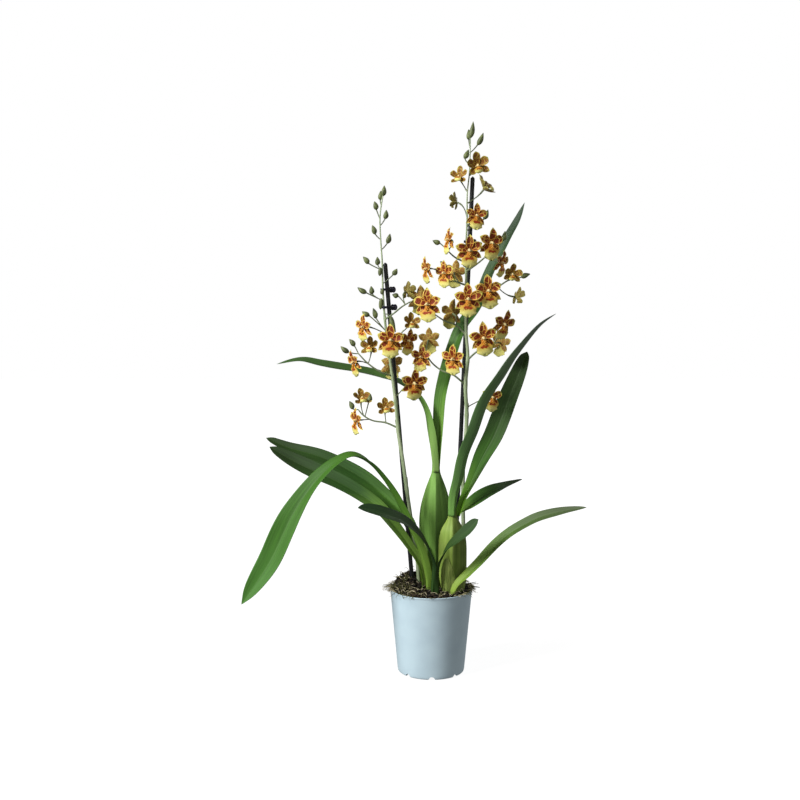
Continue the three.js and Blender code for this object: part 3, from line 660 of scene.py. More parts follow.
def make_bark():
    """Loose chips on the core, roots lying among them, fibres hanging over the lip, and moss at the left."""
    build = Build()
    mix_core(build)
    for _ in range(BARK_CHIPS):
        r, spot = scattered(56.5)
        size = random.choice((2.0, 3.0, 4.0, 5.6)) * (1 if r < 51 else 0.6)
        bark_chip(build, spot + Vector((0, 0, random.uniform(-0.6, 1.4) - 0.8)), size,
                  random.uniform(-0.22, 0.2))
    for _ in range(ROOT_FIBRES):
        _, spot = scattered(56)
        start = spot - Vector((0, 0, 0.5))
        way = Vector((random.uniform(-1, 1), random.uniform(-1, 1), random.uniform(0.0, 0.4))).normalized()
        reach = random.uniform(5, 17)
        middle = start + way * reach * 0.5 + Vector((0, 0, random.uniform(1, 3)))
        end = start + way * reach
        edge = math.hypot(end.x, end.y)
        if edge > 58:
            end *= 58 / edge
        end.z = min(end.z, spot.z + 4)
        fibre(build, [start, middle, end], random.uniform(0.25, 0.7), 0.6, random.choice((1, 1, 2)))
    for side, spread, count in ((176, 30, 90), (2, 26, 80), (FRONT, 70, 26)):
        for _ in range(count):
            turn = math.radians(random.gauss(side, spread))
            out = polar(1, turn)
            along = polar(random.uniform(-1, 1), turn + math.pi / 2)
            reach = random.uniform(0.5, 1.5) if side == FRONT else random.choice((2, 3, 4, 5, 6, 11))
            start = polar(random.uniform(53, 58), turn, POT_HEIGHT + random.uniform(-2, 1))
            middle = out * 60 + along * 3 + Vector((0, 0, POT_HEIGHT + random.uniform(0.6, 2.4)))
            end = out * (60 + reach) + along * 7 + Vector((0, 0, POT_HEIGHT + random.uniform(-4, 3)))
            fibre(build, [start, middle, end], random.uniform(0.25, 0.6), 0.5, random.choice((1, 2, 2)))
    for _ in range(MOSS_TUFTS):
        turn = math.radians(random.gauss(170, 42))
        start = polar(random.uniform(34, 58), turn)
        start.z = crumbs(start.x, start.y) + random.uniform(-0.5, 1)
        tuft = Vector((random.uniform(-4, 4), random.uniform(-4, 4), random.uniform(0, 3)))
        thread = Line([start, start + tuft * 0.5 + Vector((0, 0, 1.4)), start + tuft], 4)
        build.limb(thread, lambda t: 0.6 * (1 - 0.7 * t), 5, 5, 2, random.uniform(0, 9))
    build.piece("bark_and_roots", [BARK, STRAW, MOSS], ["bark_mix"], "bark")


# ---------- stakes and clips ----------

STAKES = {
    "stake_left": {"foot": (-18, 3, 20), "top": (-66, 3, 588)},
    "stake_right": {"foot": (30, 21, 20), "top": (57, 3, 708)},
}


def make_stake(name, plan):
    """A steel rod in a coat of dark plastic, with fine raised rings and a rounded cap."""
    build = Build()
    foot, top = Vector(plan["foot"]), Vector(plan["top"])
    length = (top - foot).length

    def radius(t):
        far = (1 - t) * length
        ring = 0.12 * max(0.0, math.cos(2 * math.pi * t * length / 22)) ** 12
        cap = math.sqrt(max(0.0, 1 - max(0.0, 1 - far / 3.0) ** 2))
        return max(0.15, (STAKE_RADIUS - 0.15 + ring) * cap)

    build.limb(Line([foot, top], 2), radius, 24, 260, 0)
    build.piece(name + "_rod", [STAKE_COAT], [name], "stake")


# Each clip's spike and height, and its band's section: how far it stands out and how far up.
CLIPS = {"clip_left_lower": ("left", 525), "clip_left_upper": ("left", 550), "clip_right": ("right", 617)}
CLIP_BAND = ((0.0, -1.4), (0.15, -1.7), (0.8, -1.7), (1.0, -1.5),
             (1.0, 1.5), (0.8, 1.7), (0.15, 1.7), (0.0, 1.4))
UP = Vector((0, 0, 1))


def make_clip(name, spike, z):
    """A sprung clip: a flat band round stake and stem, two ringed finger pads and a coil between them."""
    foot, top = (Vector(STAKES[f"stake_{spike}"][end]) for end in ("foot", "top"))
    stake = foot.lerp(top, (z - foot.z) / (top.z - foot.z))
    stem = Line(SPIKES[spike]["stem"]).nearest(stake)
    build = Build()
    out = Vector((stake.x - stem.x, stake.y - stem.y, 0))
    reach = out.length
    out.normalize()
    side = Vector((-out.y, out.x, 0))
    room, snug = STAKE_RADIUS + 0.6, 2.5
    turns = [math.pi * (i / 24 - 0.5) for i in range(25)]
    path = [swing(out, side, a) * room for a in turns]
    path += [out * (-math.cos(a) * snug - reach) - side * math.sin(a) * snug for a in turns]
    rows = []
    for grow, lift in CLIP_BAND:
        row = []
        for p in path:
            centre = out * min(max(p.dot(out), -reach), 0)
            row.append((stake + p + (p - centre).normalized() * grow + UP * lift, *PLAIN))
        rows.append(row)
    rows.append(rows[0])
    build.grid(rows, 0, True, False)
    for hand in (-1, 1):
        start = stake + out * (room + 0.6) + side * hand * 1.2
        pad = stake + out * (room + 5) + side * hand * 2.8
        build.limb(Line([start, start.lerp(pad, 0.5) + side * hand * 0.5, pad], 5), lambda t: 1.2, 12, 6, 0)
        ring = [pad + swing(out * 3, UP * 3.45, math.pi * i / 12) for i in range(25)]
        build.limb(Line(ring, 2), lambda t: 1.0, 10, 48, 0)
        # the pad inside each ring takes the pale tone of painted highlight
        build.lump(pad, (out * 2.4, UP * 2.6, side * hand * 0.5), 8, 20, 1)
    coil = [stake + out * (room + 2.6) + side * (t - 0.5) * 3.4 + swing(out, UP, t * 25) * 1.3
            for t in (i / 60 for i in range(61))]
    build.limb(Line(coil, 2), lambda t: 0.3, 6, 120, 0)
    build.piece(name + "_spring", [CLIP_PLASTIC, CLIP_PAD_HIGHLIGHT], [name], "clip")


# ---------- pseudobulbs ----------

BULBS = {
    "pseudobulb_back": {
        "at": (7, 14, 108), "flat": 0.62, "skin": BACK_BULB,
        "profile": [(8, 0), (11, 22), (16, 50), (21, 80), (23.4, 104), (21.5, 128), (15.5, 152), (9.5, 170),
                    (6.6, 178), (5.6, 185), (4.6, 192)],
    },
    "pseudobulb_front": {
        "at": (30, -14, 108), "flat": 0.68, "skin": FRONT_BULB,
        "profile": [(10, 0), (15, 16), (18.8, 36), (19.6, 60), (19, 84), (16, 100), (10, 112), (7.2, 118),
                    (6, 124), (5, 129)],
    },
}


def make_bulb(name, plan):
    """A flattened fleshy bulb, ridged lengthwise, narrowing to a neck where its leaves join."""
    outline = Line([(r, 0, z) for r, z in plan["profile"]])
    build = Build()
    sides, steps = 96, 90
    at = Vector(plan["at"])
    rows = []
    for j in range(steps + 1):
        t = j / steps
        here = outline.at(t)
        row = []
        for i in range(sides):
            turn = 2 * math.pi * i / sides - math.pi / 2
            swell = smoothstep(t, 0.0, 0.12) * (1 - smoothstep(t, 0.8, 0.93))
            keen = (abs(math.cos(turn)) ** 1.2 + abs(math.sin(turn)) ** 1.2) ** (-1 / 1.2)
            ridge = 0.008 * math.cos(9 * turn + 0.6 + t) + 0.005 * math.cos(17 * turn + 4)
            r = here.x * (mix(1, 1.04 * keen, swell) + ridge * swell)
            p = Vector((r * math.cos(turn), r * math.sin(turn) * plan["flat"], here.z))
            row.append((at + p, (i / sides * 2 - 1, t, 1.0), (turn * 18, here.z, at.x)))
        rows.append(row)
    build.grid(rows, 0, True, True)
    build.piece(name + "_flesh", [plan["skin"]], [name], "bulb")


# Each sheath's foot, radius, flatness, heading, height, half-width in radians, and how far its tip leans out.
SHEATHS = (
    ((6, 6, 112), 15.5, 0.75, -150, 74, 0.9, 2.5), ((8, 10, 112), 14.5, 0.85, -55, 62, 0.8, 2.0),
    ((30, -14, 112), 19.5, 0.68, -115, 58, 0.9, 1.5), ((30, -14, 112), 19.8, 0.7, -30, 44, 0.8, 2.0),
)


def make_sheaths():
    """Old papery sheaths that clasp the feet of both pseudobulbs."""
    build = Build()
    for foot, radius, flat, heading, height, wide, lean in SHEATHS:
        def surface(s, t):
            swell = radius * (0.74 + 0.3 * math.sin(1.5 * t)) + lean * t * t
            ripple = 0.35 * math.sin(9 * s + 5 * t)
            out = polar(swell + ripple, math.radians(heading) + s * wide * (1 - t ** 1.6 * 0.85))
            return Vector(foot) + Vector((out.x, out.y * flat, height * t))

        build.blade(surface, 16, 22, 0.5, 0, radius, (radius, height))
    build.piece("basal_sheaths", [DRY_SHEATH], [], "bulb")


# ---------- leaves ----------

# Each leaf: its widths as (share of its length, width), its midline from foot to tip, the way its upper face
# looks at even steps along it, and its tones from foot to tip.
LEAVES = {
    "leaf_drooping_left": {
        "tones": ("#76983a", "#4c7a24", "#376618", "#3e7026"),
        "widths": [(0, 13), (0.3, 17), (0.6, 23), (0.75, 34), (0.85, 34), (0.94, 23), (1, 5)],
        "line": [(-5, -18, 116), (-6, -20, 140), (-16, -25, 182), (-40, -35, 238), (-68, -47, 287),
                 (-90, -58, 313), (-110, -66, 322), (-130, -72, 315), (-156, -78, 293), (-189, -84, 248),
                 (-221, -89, 182), (-261, -92, 122)],
        "faces": [(0.4, 0.85, 0.3), (0.35, 0.5, 0.8), (-0.1, -0.3, 1), (-0.35, -0.9, 0.3),
                  (-0.35, -0.92, 0.1)],
    },
    "leaf_back_left": {
        "tones": ("#7a9c3c", "#4c7a26", "#244c16", "#1c340f"),
        "widths": [(0, 12), (0.3, 18), (0.5, 25), (0.7, 25), (0.88, 18), (0.97, 11), (1, 5)],
        "line": [(-9, 7, 118), (-16, 9, 158), (-24, 13, 192), (-32, 19, 212), (-46, 23, 229), (-72, 35, 252),
                 (-99, 46, 272), (-157, 62, 300), (-214, 74, 316), (-246, 80, 329)],
        "faces": [(0.3, -0.9, 0.2), (0.1, -0.8, 0.5), (0, -0.7, 0.7), (0, -0.7, 0.7), (-0.1, -0.7, 0.7)],
    },
    "leaf_low_back_left": {
        "tones": ("#88a648", "#6c9438", "#244a16", "#182f10"),
        "widths": [(0, 12), (0.3, 18), (0.5, 24), (0.75, 29), (0.88, 24), (0.96, 15), (1, 5)],
        "line": [(-12, -10, 118), (-13, -11, 145), (-20, -11, 165), (-36, -11, 190), (-54, -6, 213),
                 (-73, 4, 234), (-98, 16, 251), (-135, 28, 270), (-197, 46, 296), (-238, 54, 319)],
        "faces": [(0.6, -0.7, 0.3), (0.3, -0.6, 0.75), (0, -0.65, 0.75), (0, -0.7, 0.7), (-0.1, -0.7, 0.7)],
    },
    "leaf_short_front_left": {
        "tones": ("#2c4a1c", "#1a3412", "#1a3414", "#1e3a20"),
        "widths": [(0, 8), (0.35, 12), (0.6, 21), (0.8, 24), (0.93, 19), (1, 7)],
        "line": [(1, -27, 116), (2, -34, 164), (-6, -43, 189), (-20, -53, 211), (-40, -63, 230),
                 (-66, -76, 243), (-102, -91, 255)],
        "faces": [(0.3, 0.9, 0.3), (0.5, -0.2, 0.8), (0.2, -0.5, 0.85), (0, -0.55, 0.83)],
    },
    "leaf_arching_left": {
        "tones": ("#86aa58", "#608a3c", "#2e4c1e", "#2e4e20"),
        "widths": [(0, 13), (0.3, 20), (0.5, 24), (0.75, 20), (0.93, 11), (1, 2.5)],
        "line": [(4, 9, 288), (-2, 14, 348), (-9, 20, 376), (-21, 27, 398), (-41, 35, 412), (-60, 41, 420),
                 (-101, 53, 430), (-162, 67, 440), (-192, 74, 446), (-229, 82, 440)],
        "faces": [(0.6, 0.75, 0.2), (0.5, 0.5, 0.7), (0.1, -0.3, 0.95), (0, -0.42, 0.9), (-0.2, -0.4, 0.9)],
    },
    "leaf_upright_centre": {
        "tones": ("#76a042", "#4e7e2a", "#325a1c", "#3a4c3c"),
        "widths": [(0, 13), (0.15, 17), (0.4, 22), (0.7, 20), (0.92, 14), (1, 3)],
        "line": [(9, 18, 288), (11, 20, 334), (14, 25, 392), (22, 30, 427), (34, 35, 468), (46, 39, 496),
                 (68, 45, 527), (87, 52, 575), (111, 58, 622), (127, 62, 651), (137, 65, 677)],
        "faces": [(-0.4, -0.85, 0.1), (-0.5, -0.8, 0.2), (-0.6, -0.7, 0.3), (-0.6, -0.6, 0.4),
                 (-0.6, -0.6, 0.4)],
    },
    "leaf_long_right": {
        "tones": ("#6a9648", "#587e46", "#5a7a4a", "#6a7866"),
        "widths": [(0, 13), (0.2, 19), (0.5, 22), (0.75, 19), (0.92, 10), (1, 2.5)],
        "line": [(31, -20, 229), (33, -22, 259), (38, -25, 281), (46, -30, 318), (58, -38, 351),
                 (75, -48, 398), (96, -58, 432), (116, -68, 464), (143, -80, 500), (163, -90, 517)],
        "faces": [(-0.4, 0.85, 0.1), (-0.5, 0.75, 0.3), (-0.5, 0.65, 0.5), (-0.5, 0.5, 0.7),
                  (-0.4, 0.4, 0.8)],
    },
    "leaf_broad_right": {
        "tones": ("#5c8c1e", "#2c5a0a", "#1c3c08", "#183208"),
        "widths": [(0, 10), (0.15, 12), (0.35, 25), (0.55, 31), (0.75, 29), (0.9, 23), (0.97, 15), (1, 6)],
        "line": [(38, -12, 229), (47, -10, 256), (58, -6, 280), (74, 4, 311), (90, 12, 339), (104, 22, 370),
                 (117, 32, 402), (130, 42, 432), (141, 48, 460)],
        "faces": [(-0.4, -0.85, 0.1), (-0.4, -0.85, 0.3), (-0.4, -0.85, 0.35), (-0.4, -0.85, 0.3)],
    },
    "leaf_short_right": {
        "tones": ("#6c9436", "#345e1c", "#2a4c1c", "#404e3a"),
        "widths": [(0, 11), (0.3, 22), (0.55, 19), (0.8, 10), (1, 2)],
        "line": [(37, -5, 229), (48, -4, 237), (63, 2, 247), (82, 12, 257), (98, 21, 263), (113, 32, 267),
                 (135, 40, 273)],
        "faces": [(-0.4, -0.6, 0.7), (-0.3, -0.7, 0.65), (0, -0.6, 0.8)],
    },
    "leaf_young_front": {
        "tones": ("#263f16", "#213a12", "#284616", "#304c2a"),
        "widths": [(0, 8), (0.4, 9), (0.65, 15), (0.85, 18.5), (0.95, 14), (1, 6)],
        "line": [(9, -34, 114), (8, -38, 148), (12, -45, 170), (22, -54, 191), (36, -64, 207), (49, -73, 221),
                 (62, -80, 237)],
        "faces": [(-0.3, 0.9, 0.3), (-0.6, 0.3, 0.6), (-0.6, -0.55, 0.55), (-0.5, -0.7, 0.45)],
    },
    "leaf_low_right": {
        "tones": ("#8aa63c", "#628632", "#46622a", "#4c5a3c"),
        "widths": [(0, 12), (0.2, 18), (0.5, 19), (0.8, 16), (0.93, 9), (1, 2.5)],
        "line": [(31, -34, 112), (37, -34, 132), (51, -36, 149), (68, -39, 167), (92, -44, 195),
                 (108, -48, 210), (127, -53, 223), (148, -59, 235), (177, -67, 245), (210, -77, 253)],
        "faces": [(-0.7, -0.3, 0.5), (-0.4, -0.5, 0.75), (-0.3, -0.55, 0.75), (-0.2, -0.6, 0.75)],
    },
}


def face_at(faces, t):
    place = min(t, 0.9999) * (len(faces) - 1)
    k = int(place)
    return Vector(faces[k]).normalized().lerp(Vector(faces[k + 1]).normalized(), place - k)


def make_leaf(name, plan):
    """A strap folded along its midrib, with a clasping foot, slightly waved edges and a drawn-out point."""
    line = Line(plan["line"])
    phase = random.uniform(0, 6)
    frames = {}

    def frame_at(t):
        key = round(t, 4)
        if key not in frames:
            along = line.tangent(t)
            side = face_at(plan["faces"], t).cross(along).normalized()
            frames[key] = (line.at(t), side, along.cross(side))
        return frames[key]

    def surface(s, t):
        middle, side, up = frame_at(t)
        point = math.sqrt(max(0.02, 1 - max(0.0, (t - 0.965) / 0.035) ** 2))
        half = smooth_table(plan["widths"], t) / 2 * point
        clasp = 0.5 * (1 - smoothstep(t, 0.0, 0.2))
        rise = half * (LEAF_FOLD + clasp) * abs(s) ** 1.25
        wave = 0.035 * half * s * abs(s) * math.sin(t * line.length / 13 + phase + 1.3 * s)
        rib = -0.5 * math.exp(-(s / 0.07) ** 2) * (1 - t)
        return middle + side * s * half * (1 - 0.2 * clasp) + up * (rise + wave + rib)

    build = Build()
    steps = max(24, int(line.length / 3.2))
    wide = max(w for _, w in plan["widths"])
    build.blade(surface, 20, steps, LEAF_THICKNESS, 0, phase * 7, (wide / 2, line.length))
    build.piece(name + "_blade", [leaf_blade(name + "_skin", plan["tones"])], [name], "leaf")


# ---------- flower spikes ----------

# A flower row is (centre, heading, tilt, size, where its stalk starts): heading 0 looks to the front and +90
# to +X, tilt is upward, both in degrees. A bud row is (foot, tip, where its stalk starts).
SPIKES = {
    "left": {
        "stem": [(-17, 0, 112), (-21, 0, 170), (-28, -2, 215), (-34, -5, 256), (-41, -6, 307), (-47, -5, 345),
                 (-51, -5, 389), (-59, -5, 450), (-66, -3, 504), (-69, -2, 547), (-70, -3, 588),
                 (-72, -2, 618), (-73, -1, 652), (-69, 0, 682)],
        "radii": (2.7, 0.9),
        "sheaths": (0.16, 0.27, 0.42, 0.49),
        "scales": [((-73, -5, 575), 12), ((-72, -5, 530), 16), ((-70, -5, 547), 8)],
        "branches": [
            [(-46, -5, 353), (-65, -2, 361), (-84, 0, 364), (-97, 1, 371), (-105, 1, 380)],
            [(-55, -5, 428), (-72, -12, 434), (-90, -11, 446), (-105, -6, 461)],
            [(-66, -3, 508), (-52, -10, 518), (-42, -5, 526), (-32, 0, 532)],
            [(-61, -4, 470), (-48, -10, 478), (-42, -8, 490)],
        ],
        "flowers": [
            ((-36, 15, 547), 140, 10, 0.85, (-38, -3, 529)),
            ((-17, 14, 536), 165, 10, 1, (-32, 0, 532)),
            ((-95, -8, 498), -45, 0, 0.88, (-68, -3, 485)),
            ((-58, -30, 480), 0, 5, 1.1, (-62, -4, 470)),
            ((-35, -14, 479), 38, -5, 0.9, (-46, -10, 482)),
            ((-30, -14, 502), 20, 25, 0.85, (-42, -8, 490)),
            ((-87, 2, 468), -15, 25, 0.9, (-90, -11, 446)),
            ((-108, -18, 449), -60, -10, 0.9, (-90, -11, 446)),
            ((-58, 26, 443), 150, 0, 1, (-59, -5, 446)),
            ((-26, -28, 420), 20, -5, 1.05, (-52, -5, 396)),
            ((-66, 4, 380), 10, 35, 0.9, (-65, -2, 361)),
            ((-100, 4, 393), 20, 50, 0.95, (-97, 1, 371)),
            ((-105, -14, 366), -60, 0, 0.9, (-88, 0, 366)),
        ],
        "buds": [
            ((-69, 0, 680), (-67, 0, 695), (-69, 0, 678)),
            ((-73, 2, 675), (-72, 3, 688), (-71, 0, 668)),
            ((-78, 0, 661), (-81, -1, 673), (-73, -1, 650)),
            ((-66, -2, 648), (-64, -3, 661), (-72, -1, 640)),
            ((-80, 0, 627), (-84, 0, 640), (-73, -2, 622)),
            ((-63, -2, 614), (-59, -3, 628), (-71, -2, 604)),
            ((-89, 0, 586), (-97, 0, 596), (-71, -3, 578)),
            ((-77, 4, 584), (-77, 6, 596), (-71, -3, 576)),
            ((-55, -7, 570), (-49, -8, 579), (-70, -3, 560)),
            ((-92, 0, 545), (-105, 0, 553), (-69, -2, 535)),
            ((-85, 4, 543), (-86, 6, 555), (-69, -2, 534)),
            ((-47, 4, 541), (-56, 5, 543), (-38, -3, 529)),
            ((-79, -2, 509), (-83, -3, 524), (-67, -3, 492)),
            ((-88, 3, 513), (-99, 4, 519), (-67, -3, 491)),
            ((-117, -4, 461), (-129, -4, 470), (-104, -6, 460)),
            ((-109, -2, 470), (-117, -1, 480), (-104, -6, 460)),
            ((-112, 0, 380), (-117, -1, 392), (-105, 1, 380)),
            ((-90, 3, 389), (-87, 4, 402), (-95, 1, 370)),
            ((-58, -9, 513), (-51, -14, 490), (-66, -3, 513)),
        ],
    },
    "right": {
        "stem": [(47, 7, 112), (47, 7, 190), (46, 9, 247), (46, 5, 300), (49, 0, 340), (50, -2, 373),
                 (48, -4, 415), (51, -4, 454), (48, -5, 494), (48, -4, 558), (48, -2, 612), (49, -3, 649),
                 (49, -4, 683), (52, -3, 713), (53, 0, 743), (53, 0, 762)],
        "radii": (2.9, 0.8),
        "sheaths": (0.3, 0.4, 0.47),
        "scales": [((46, -5, 586), 9)],
        "branches": [
            [(48, -4, 415), (30, -9, 430), (14, -8, 436), (0, -4, 447), (-8, 2, 459)],
            [(50, -4, 450), (64, -10, 463), (82, -4, 468), (93, 2, 482)],
            [(48, -5, 486), (34, -2, 500), (18, -6, 506), (4, -6, 515)],
            [(48, -5, 525), (68, 2, 538), (90, 2, 551), (106, 0, 562), (118, 2, 566)],
            [(48, -4, 556), (32, 0, 562), (18, -4, 570), (6, -4, 577)],
            [(48, -4, 575), (66, -4, 588), (80, -4, 600)],
            [(48, -3, 588), (34, -2, 594), (22, -2, 604)],
        ],
        "flowers": [
            ((62, -14, 720), 6, 6, 1.1, (53, -2, 706)),
            ((38, -10, 704), -22, 34, 0.88, (49, -4, 688)),
            ((72, -6, 689), 74, 52, 1.2, (50, -3, 672)),
            ((35, 6, 672), -120, 15, 0.85, (49, -3, 650)),
            ((60, -22, 651), 18, 12, 0.88, (49, -3, 636)),
            ((25, -11, 619), -70, 10, 0.9, (22, -2, 604)),
            ((50, -34, 604), 5, -5, 1.05, (48, -3, 596)),
            ((80, -27, 614), 25, 0, 1.05, (80, -4, 600)),
            ((96, -8, 588), 55, -10, 0.9, (74, -4, 596)),
            ((-6, -14, 579), -65, -5, 0.9, (6, -4, 577)),
            ((18, -24, 573), -40, 0, 0.9, (14, -4, 572)),
            ((33, 22, 574), 165, 5, 0.95, (38, -2, 560)),
            ((49, -36, 537), 0, 0, 1.1, (48, -5, 528)),
            ((77, -26, 548), 8, 5, 1.1, (74, 2, 541)),
            ((111, -16, 572), 12, -8, 0.9, (108, 0, 562)),
            ((120, 18, 540), 120, 0, 0.9, (94, 2, 553)),
            ((30, 22, 516), -150, 10, 1, (34, -2, 500)),
            ((-6, -26, 530), -20, 0, 1.1, (4, -6, 515)),
            ((70, -34, 483), 8, 0, 1.1, (64, -10, 463)),
            ((99, -16, 503), 35, -15, 1, (93, 2, 482)),
            ((99, 20, 474), 150, -10, 0.85, (86, -2, 470)),
            ((30, -28, 454), -30, -5, 1, (30, -9, 430)),
            ((-4, 20, 478), 170, 5, 0.9, (-8, 2, 459)),
            ((-14, -10, 455), -25, 10, 0.9, (-4, -2, 451)),
            ((84, -6, 398), 30, 5, 0.9, (48, -3, 384)),
        ],
        "buds": [
            ((53, 0, 760), (57, 0, 783), (53, 0, 756)),
            ((51, 3, 758), (51, 4, 773), (53, 0, 748)),
            ((63, -2, 750), (71, -3, 767), (53, 0, 738)),
            ((45, 2, 732), (51, 3, 745), (53, -1, 724)),
            ((73, 4, 648), (79, 5, 662), (49, -3, 630)),
            ((12, 5, 615), (1, 6, 619), (22, -2, 604)),
            ((100, 2, 618), (103, 3, 632), (80, -4, 600)),
            ((126, 2, 567), (139, 3, 572), (116, 2, 565)),
            ((20, 6, 580), (12, 8, 590), (20, -3, 568)),
        ],
    },
}


# The flowers that are still half open, by their place in the rows above.
HALF_OPEN = {"left": (1, 6, 7, 11, 12), "right": (1, 2, 3, 4, 15, 16)}


def facing(heading, tilt):
    """The way a flower looks: heading is degrees to the right of straight ahead, tilt degrees up."""
    h, e = math.radians(heading), math.radians(tilt)
    return Vector((math.sin(h) * math.cos(e), -math.cos(h) * math.cos(e), math.sin(e)))


def make_bract(build, line, t, length, radius, turn):
    """A small pointed scale that clasps the stem at a joint."""
    foot, along = line.at(t), line.tangent(t)
    side, other = square_to(along)

    def surface(s, u):
        spin = turn + s * 1.35 * (1 - u ** 1.5)
        r = radius * (1.08 + 0.5 * u * u)
        return foot + along * length * u + swing(side, other, spin) * r

    build.blade(surface, 8, 8, 0.35, 1, turn, (radius * 1.3, length))


def make_bud(build, foot, tip, lines, start):
    """A closed bud: three sepals folded edge to edge into a pointed drop, on its own thin stalk."""
    foot, tip = Vector(foot), Vector(tip)
    begin = nearest_on(lines, start)
    into = foot.lerp(tip, 0.1)
    bend = foot.lerp(begin, 0.4) + (tip - foot) * -0.15
    build.limb(bow(begin, bend, into), lambda t: STALK_RADIUS * (0.9 + 0.25 * t ** 3), 8, 10, 0, 1.0)
    along = tip - foot
    side, other = square_to(along)
    bulge = side * 0.06 * along.length
    rows = []
    own = random.uniform(0, 20)
    for j in range(15):
        t = j / 14
        swell = 0.25 + BUD_RADIUS * max(0.0, math.sin(math.pi * t ** 0.8)) ** 0.85 * (1 - 0.25 * t)
        row = []
        for i in range(18):
            spin = 2 * math.pi * i / 18
            seam = 1 - 0.1 * max(0.0, math.cos(3 * spin)) ** 6 * math.sin(math.pi * t)
            out = swing(side, other, spin) * swell * seam
            p = foot + along * t + bulge * math.sin(math.pi * t) + out
            row.append((p, (i / 9 - 1, t, 1.0), (spin * swell, t * along.length, own)))
        rows.append(row)
    build.grid(rows, 2, True, True)


def nearest_on(lines, point):
    """Where the nearest of these lines passes a point."""
    point = Vector(point)
    return min((line.nearest(point) for line in lines), key=lambda p: (p - point).length)


def make_spike(side, plan):
    """A stem with its joints, sheathing bracts and side branches, and a stalk to each flower and bud."""
    build = Build()
    lines = [Line(plan["stem"])] + [Line(b) for b in plan["branches"]]
    stem = lines[0]
    joints = [stem_share(stem, b[0]) for b in plan["branches"]] + list(plan["sheaths"])
    thick, thin = plan["radii"]

    def stem_radius(t):
        knot = sum(math.exp(-((t - j) * stem.length / 4.0) ** 2) for j in joints)
        return mix(thick, thin, smoothstep(t, 0.3, 1.0)) * (1 + 0.18 * min(knot, 1))

    build.limb(stem, stem_radius, 14, 200, 0)
    for line in lines[1:]:
        build.limb(line, lambda t: 1.4 - 0.45 * t, 10, 30, 0, 0.6)
    for i, t in enumerate(plan["sheaths"]):
        make_bract(build, stem, t, 20 - 2 * i, mix(thick, thin, t) + 0.2, 2.1 * i + 4)
    for at, length in plan["scales"]:
        at = Vector(at)
        build.lump(at, (Vector((2.9, 0, 0)), Vector((0, 2.4, 0)), Vector((0.5, 0, length / 2))), 10, 12, 2,
                   at.z, lambda spin, t: 1 - 0.3 * t * abs(math.sin(3 * spin)))
    for i, points in enumerate(plan["branches"]):
        t = stem_share(stem, points[0])
        make_bract(build, stem, t - 0.004, 9, mix(thick, thin, t) + 0.2, 2.4 * i)
    for centre, heading, tilt, _, start in plan["flowers"]:
        forward = facing(heading, tilt)
        end = Vector(centre) - forward * 1.0
        begin = nearest_on(lines, start)
        bend = end - forward * 0.45 * (end - begin).length
        stalk = bow(begin, bend, end)
        build.limb(stalk, lambda t: STALK_RADIUS * (0.9 + 0.7 * smoothstep(t, 0.45, 0.9)), 8, 16, 0, 0.9)
        make_bract(build, stalk, 0.04, 3.4, STALK_RADIUS + 0.3, heading)
    for foot, tip, start in plan["buds"]:
        make_bud(build, foot, tip, lines, start)
    build.piece(f"spike_{side}_stems", [STEM, BRACT, BUD], [f"flower_spike_{side}"], "stem")


def stem_share(line, point):
    """How far along a line it passes nearest to a point."""
    point = Vector(point)
    return min((i / 200 for i in range(201)), key=lambda t: (line.at(t) - point).length)


# ---------- flowers ----------

# The five sepals and petals: turn from straight up, length, width, how far it leans forward, how far its tip
# curls back, and which outline it has.
SEPAL = [(0, 0.42), (0.25, 0.8), (0.45, 1), (0.65, 0.92), (0.82, 0.6), (0.93, 0.26), (1, 0.04)]
PETAL = [(0, 0.36), (0.2, 0.66), (0.42, 0.94), (0.6, 1), (0.78, 0.82), (0.91, 0.42), (1, 0.05)]
TEPALS = [
    (0, 20.5, 10.8, 3.4, 1.6, SEPAL),
    (68, 19, 11.8, 3.0, 1.4, PETAL),
    (-68, 19, 11.8, 3.0, 1.4, PETAL),
    (128, 20, 9.4, -0.4, 1.0, SEPAL),
    (-128, 20, 9.4, -0.4, 1.0, SEPAL),
]
# The lip's half-width along its length.
LIP_OUTLINE = [(0, 2.6), (0.12, 3.4), (0.24, 3.8), (0.36, 7.6), (0.46, 10.4), (0.58, 10.2), (0.7, 10.0),
               (0.82, 10.9), (0.92, 9.2), (1.0, 4.6)]
LIP_LENGTH = 23.5
# The warts of the callus: across, up, forward, and radius.
WARTS = ((0, -3.6, 5.0, 1.3), (-1.7, -4.6, 5.2, 1.0), (1.7, -4.6, 5.2, 1.0), (0, -5.6, 5.8, 1.1),
         (-1.2, -7.0, 6.2, 0.9), (1.2, -7.0, 6.2, 0.9), (0, -8.2, 6.4, 0.8))


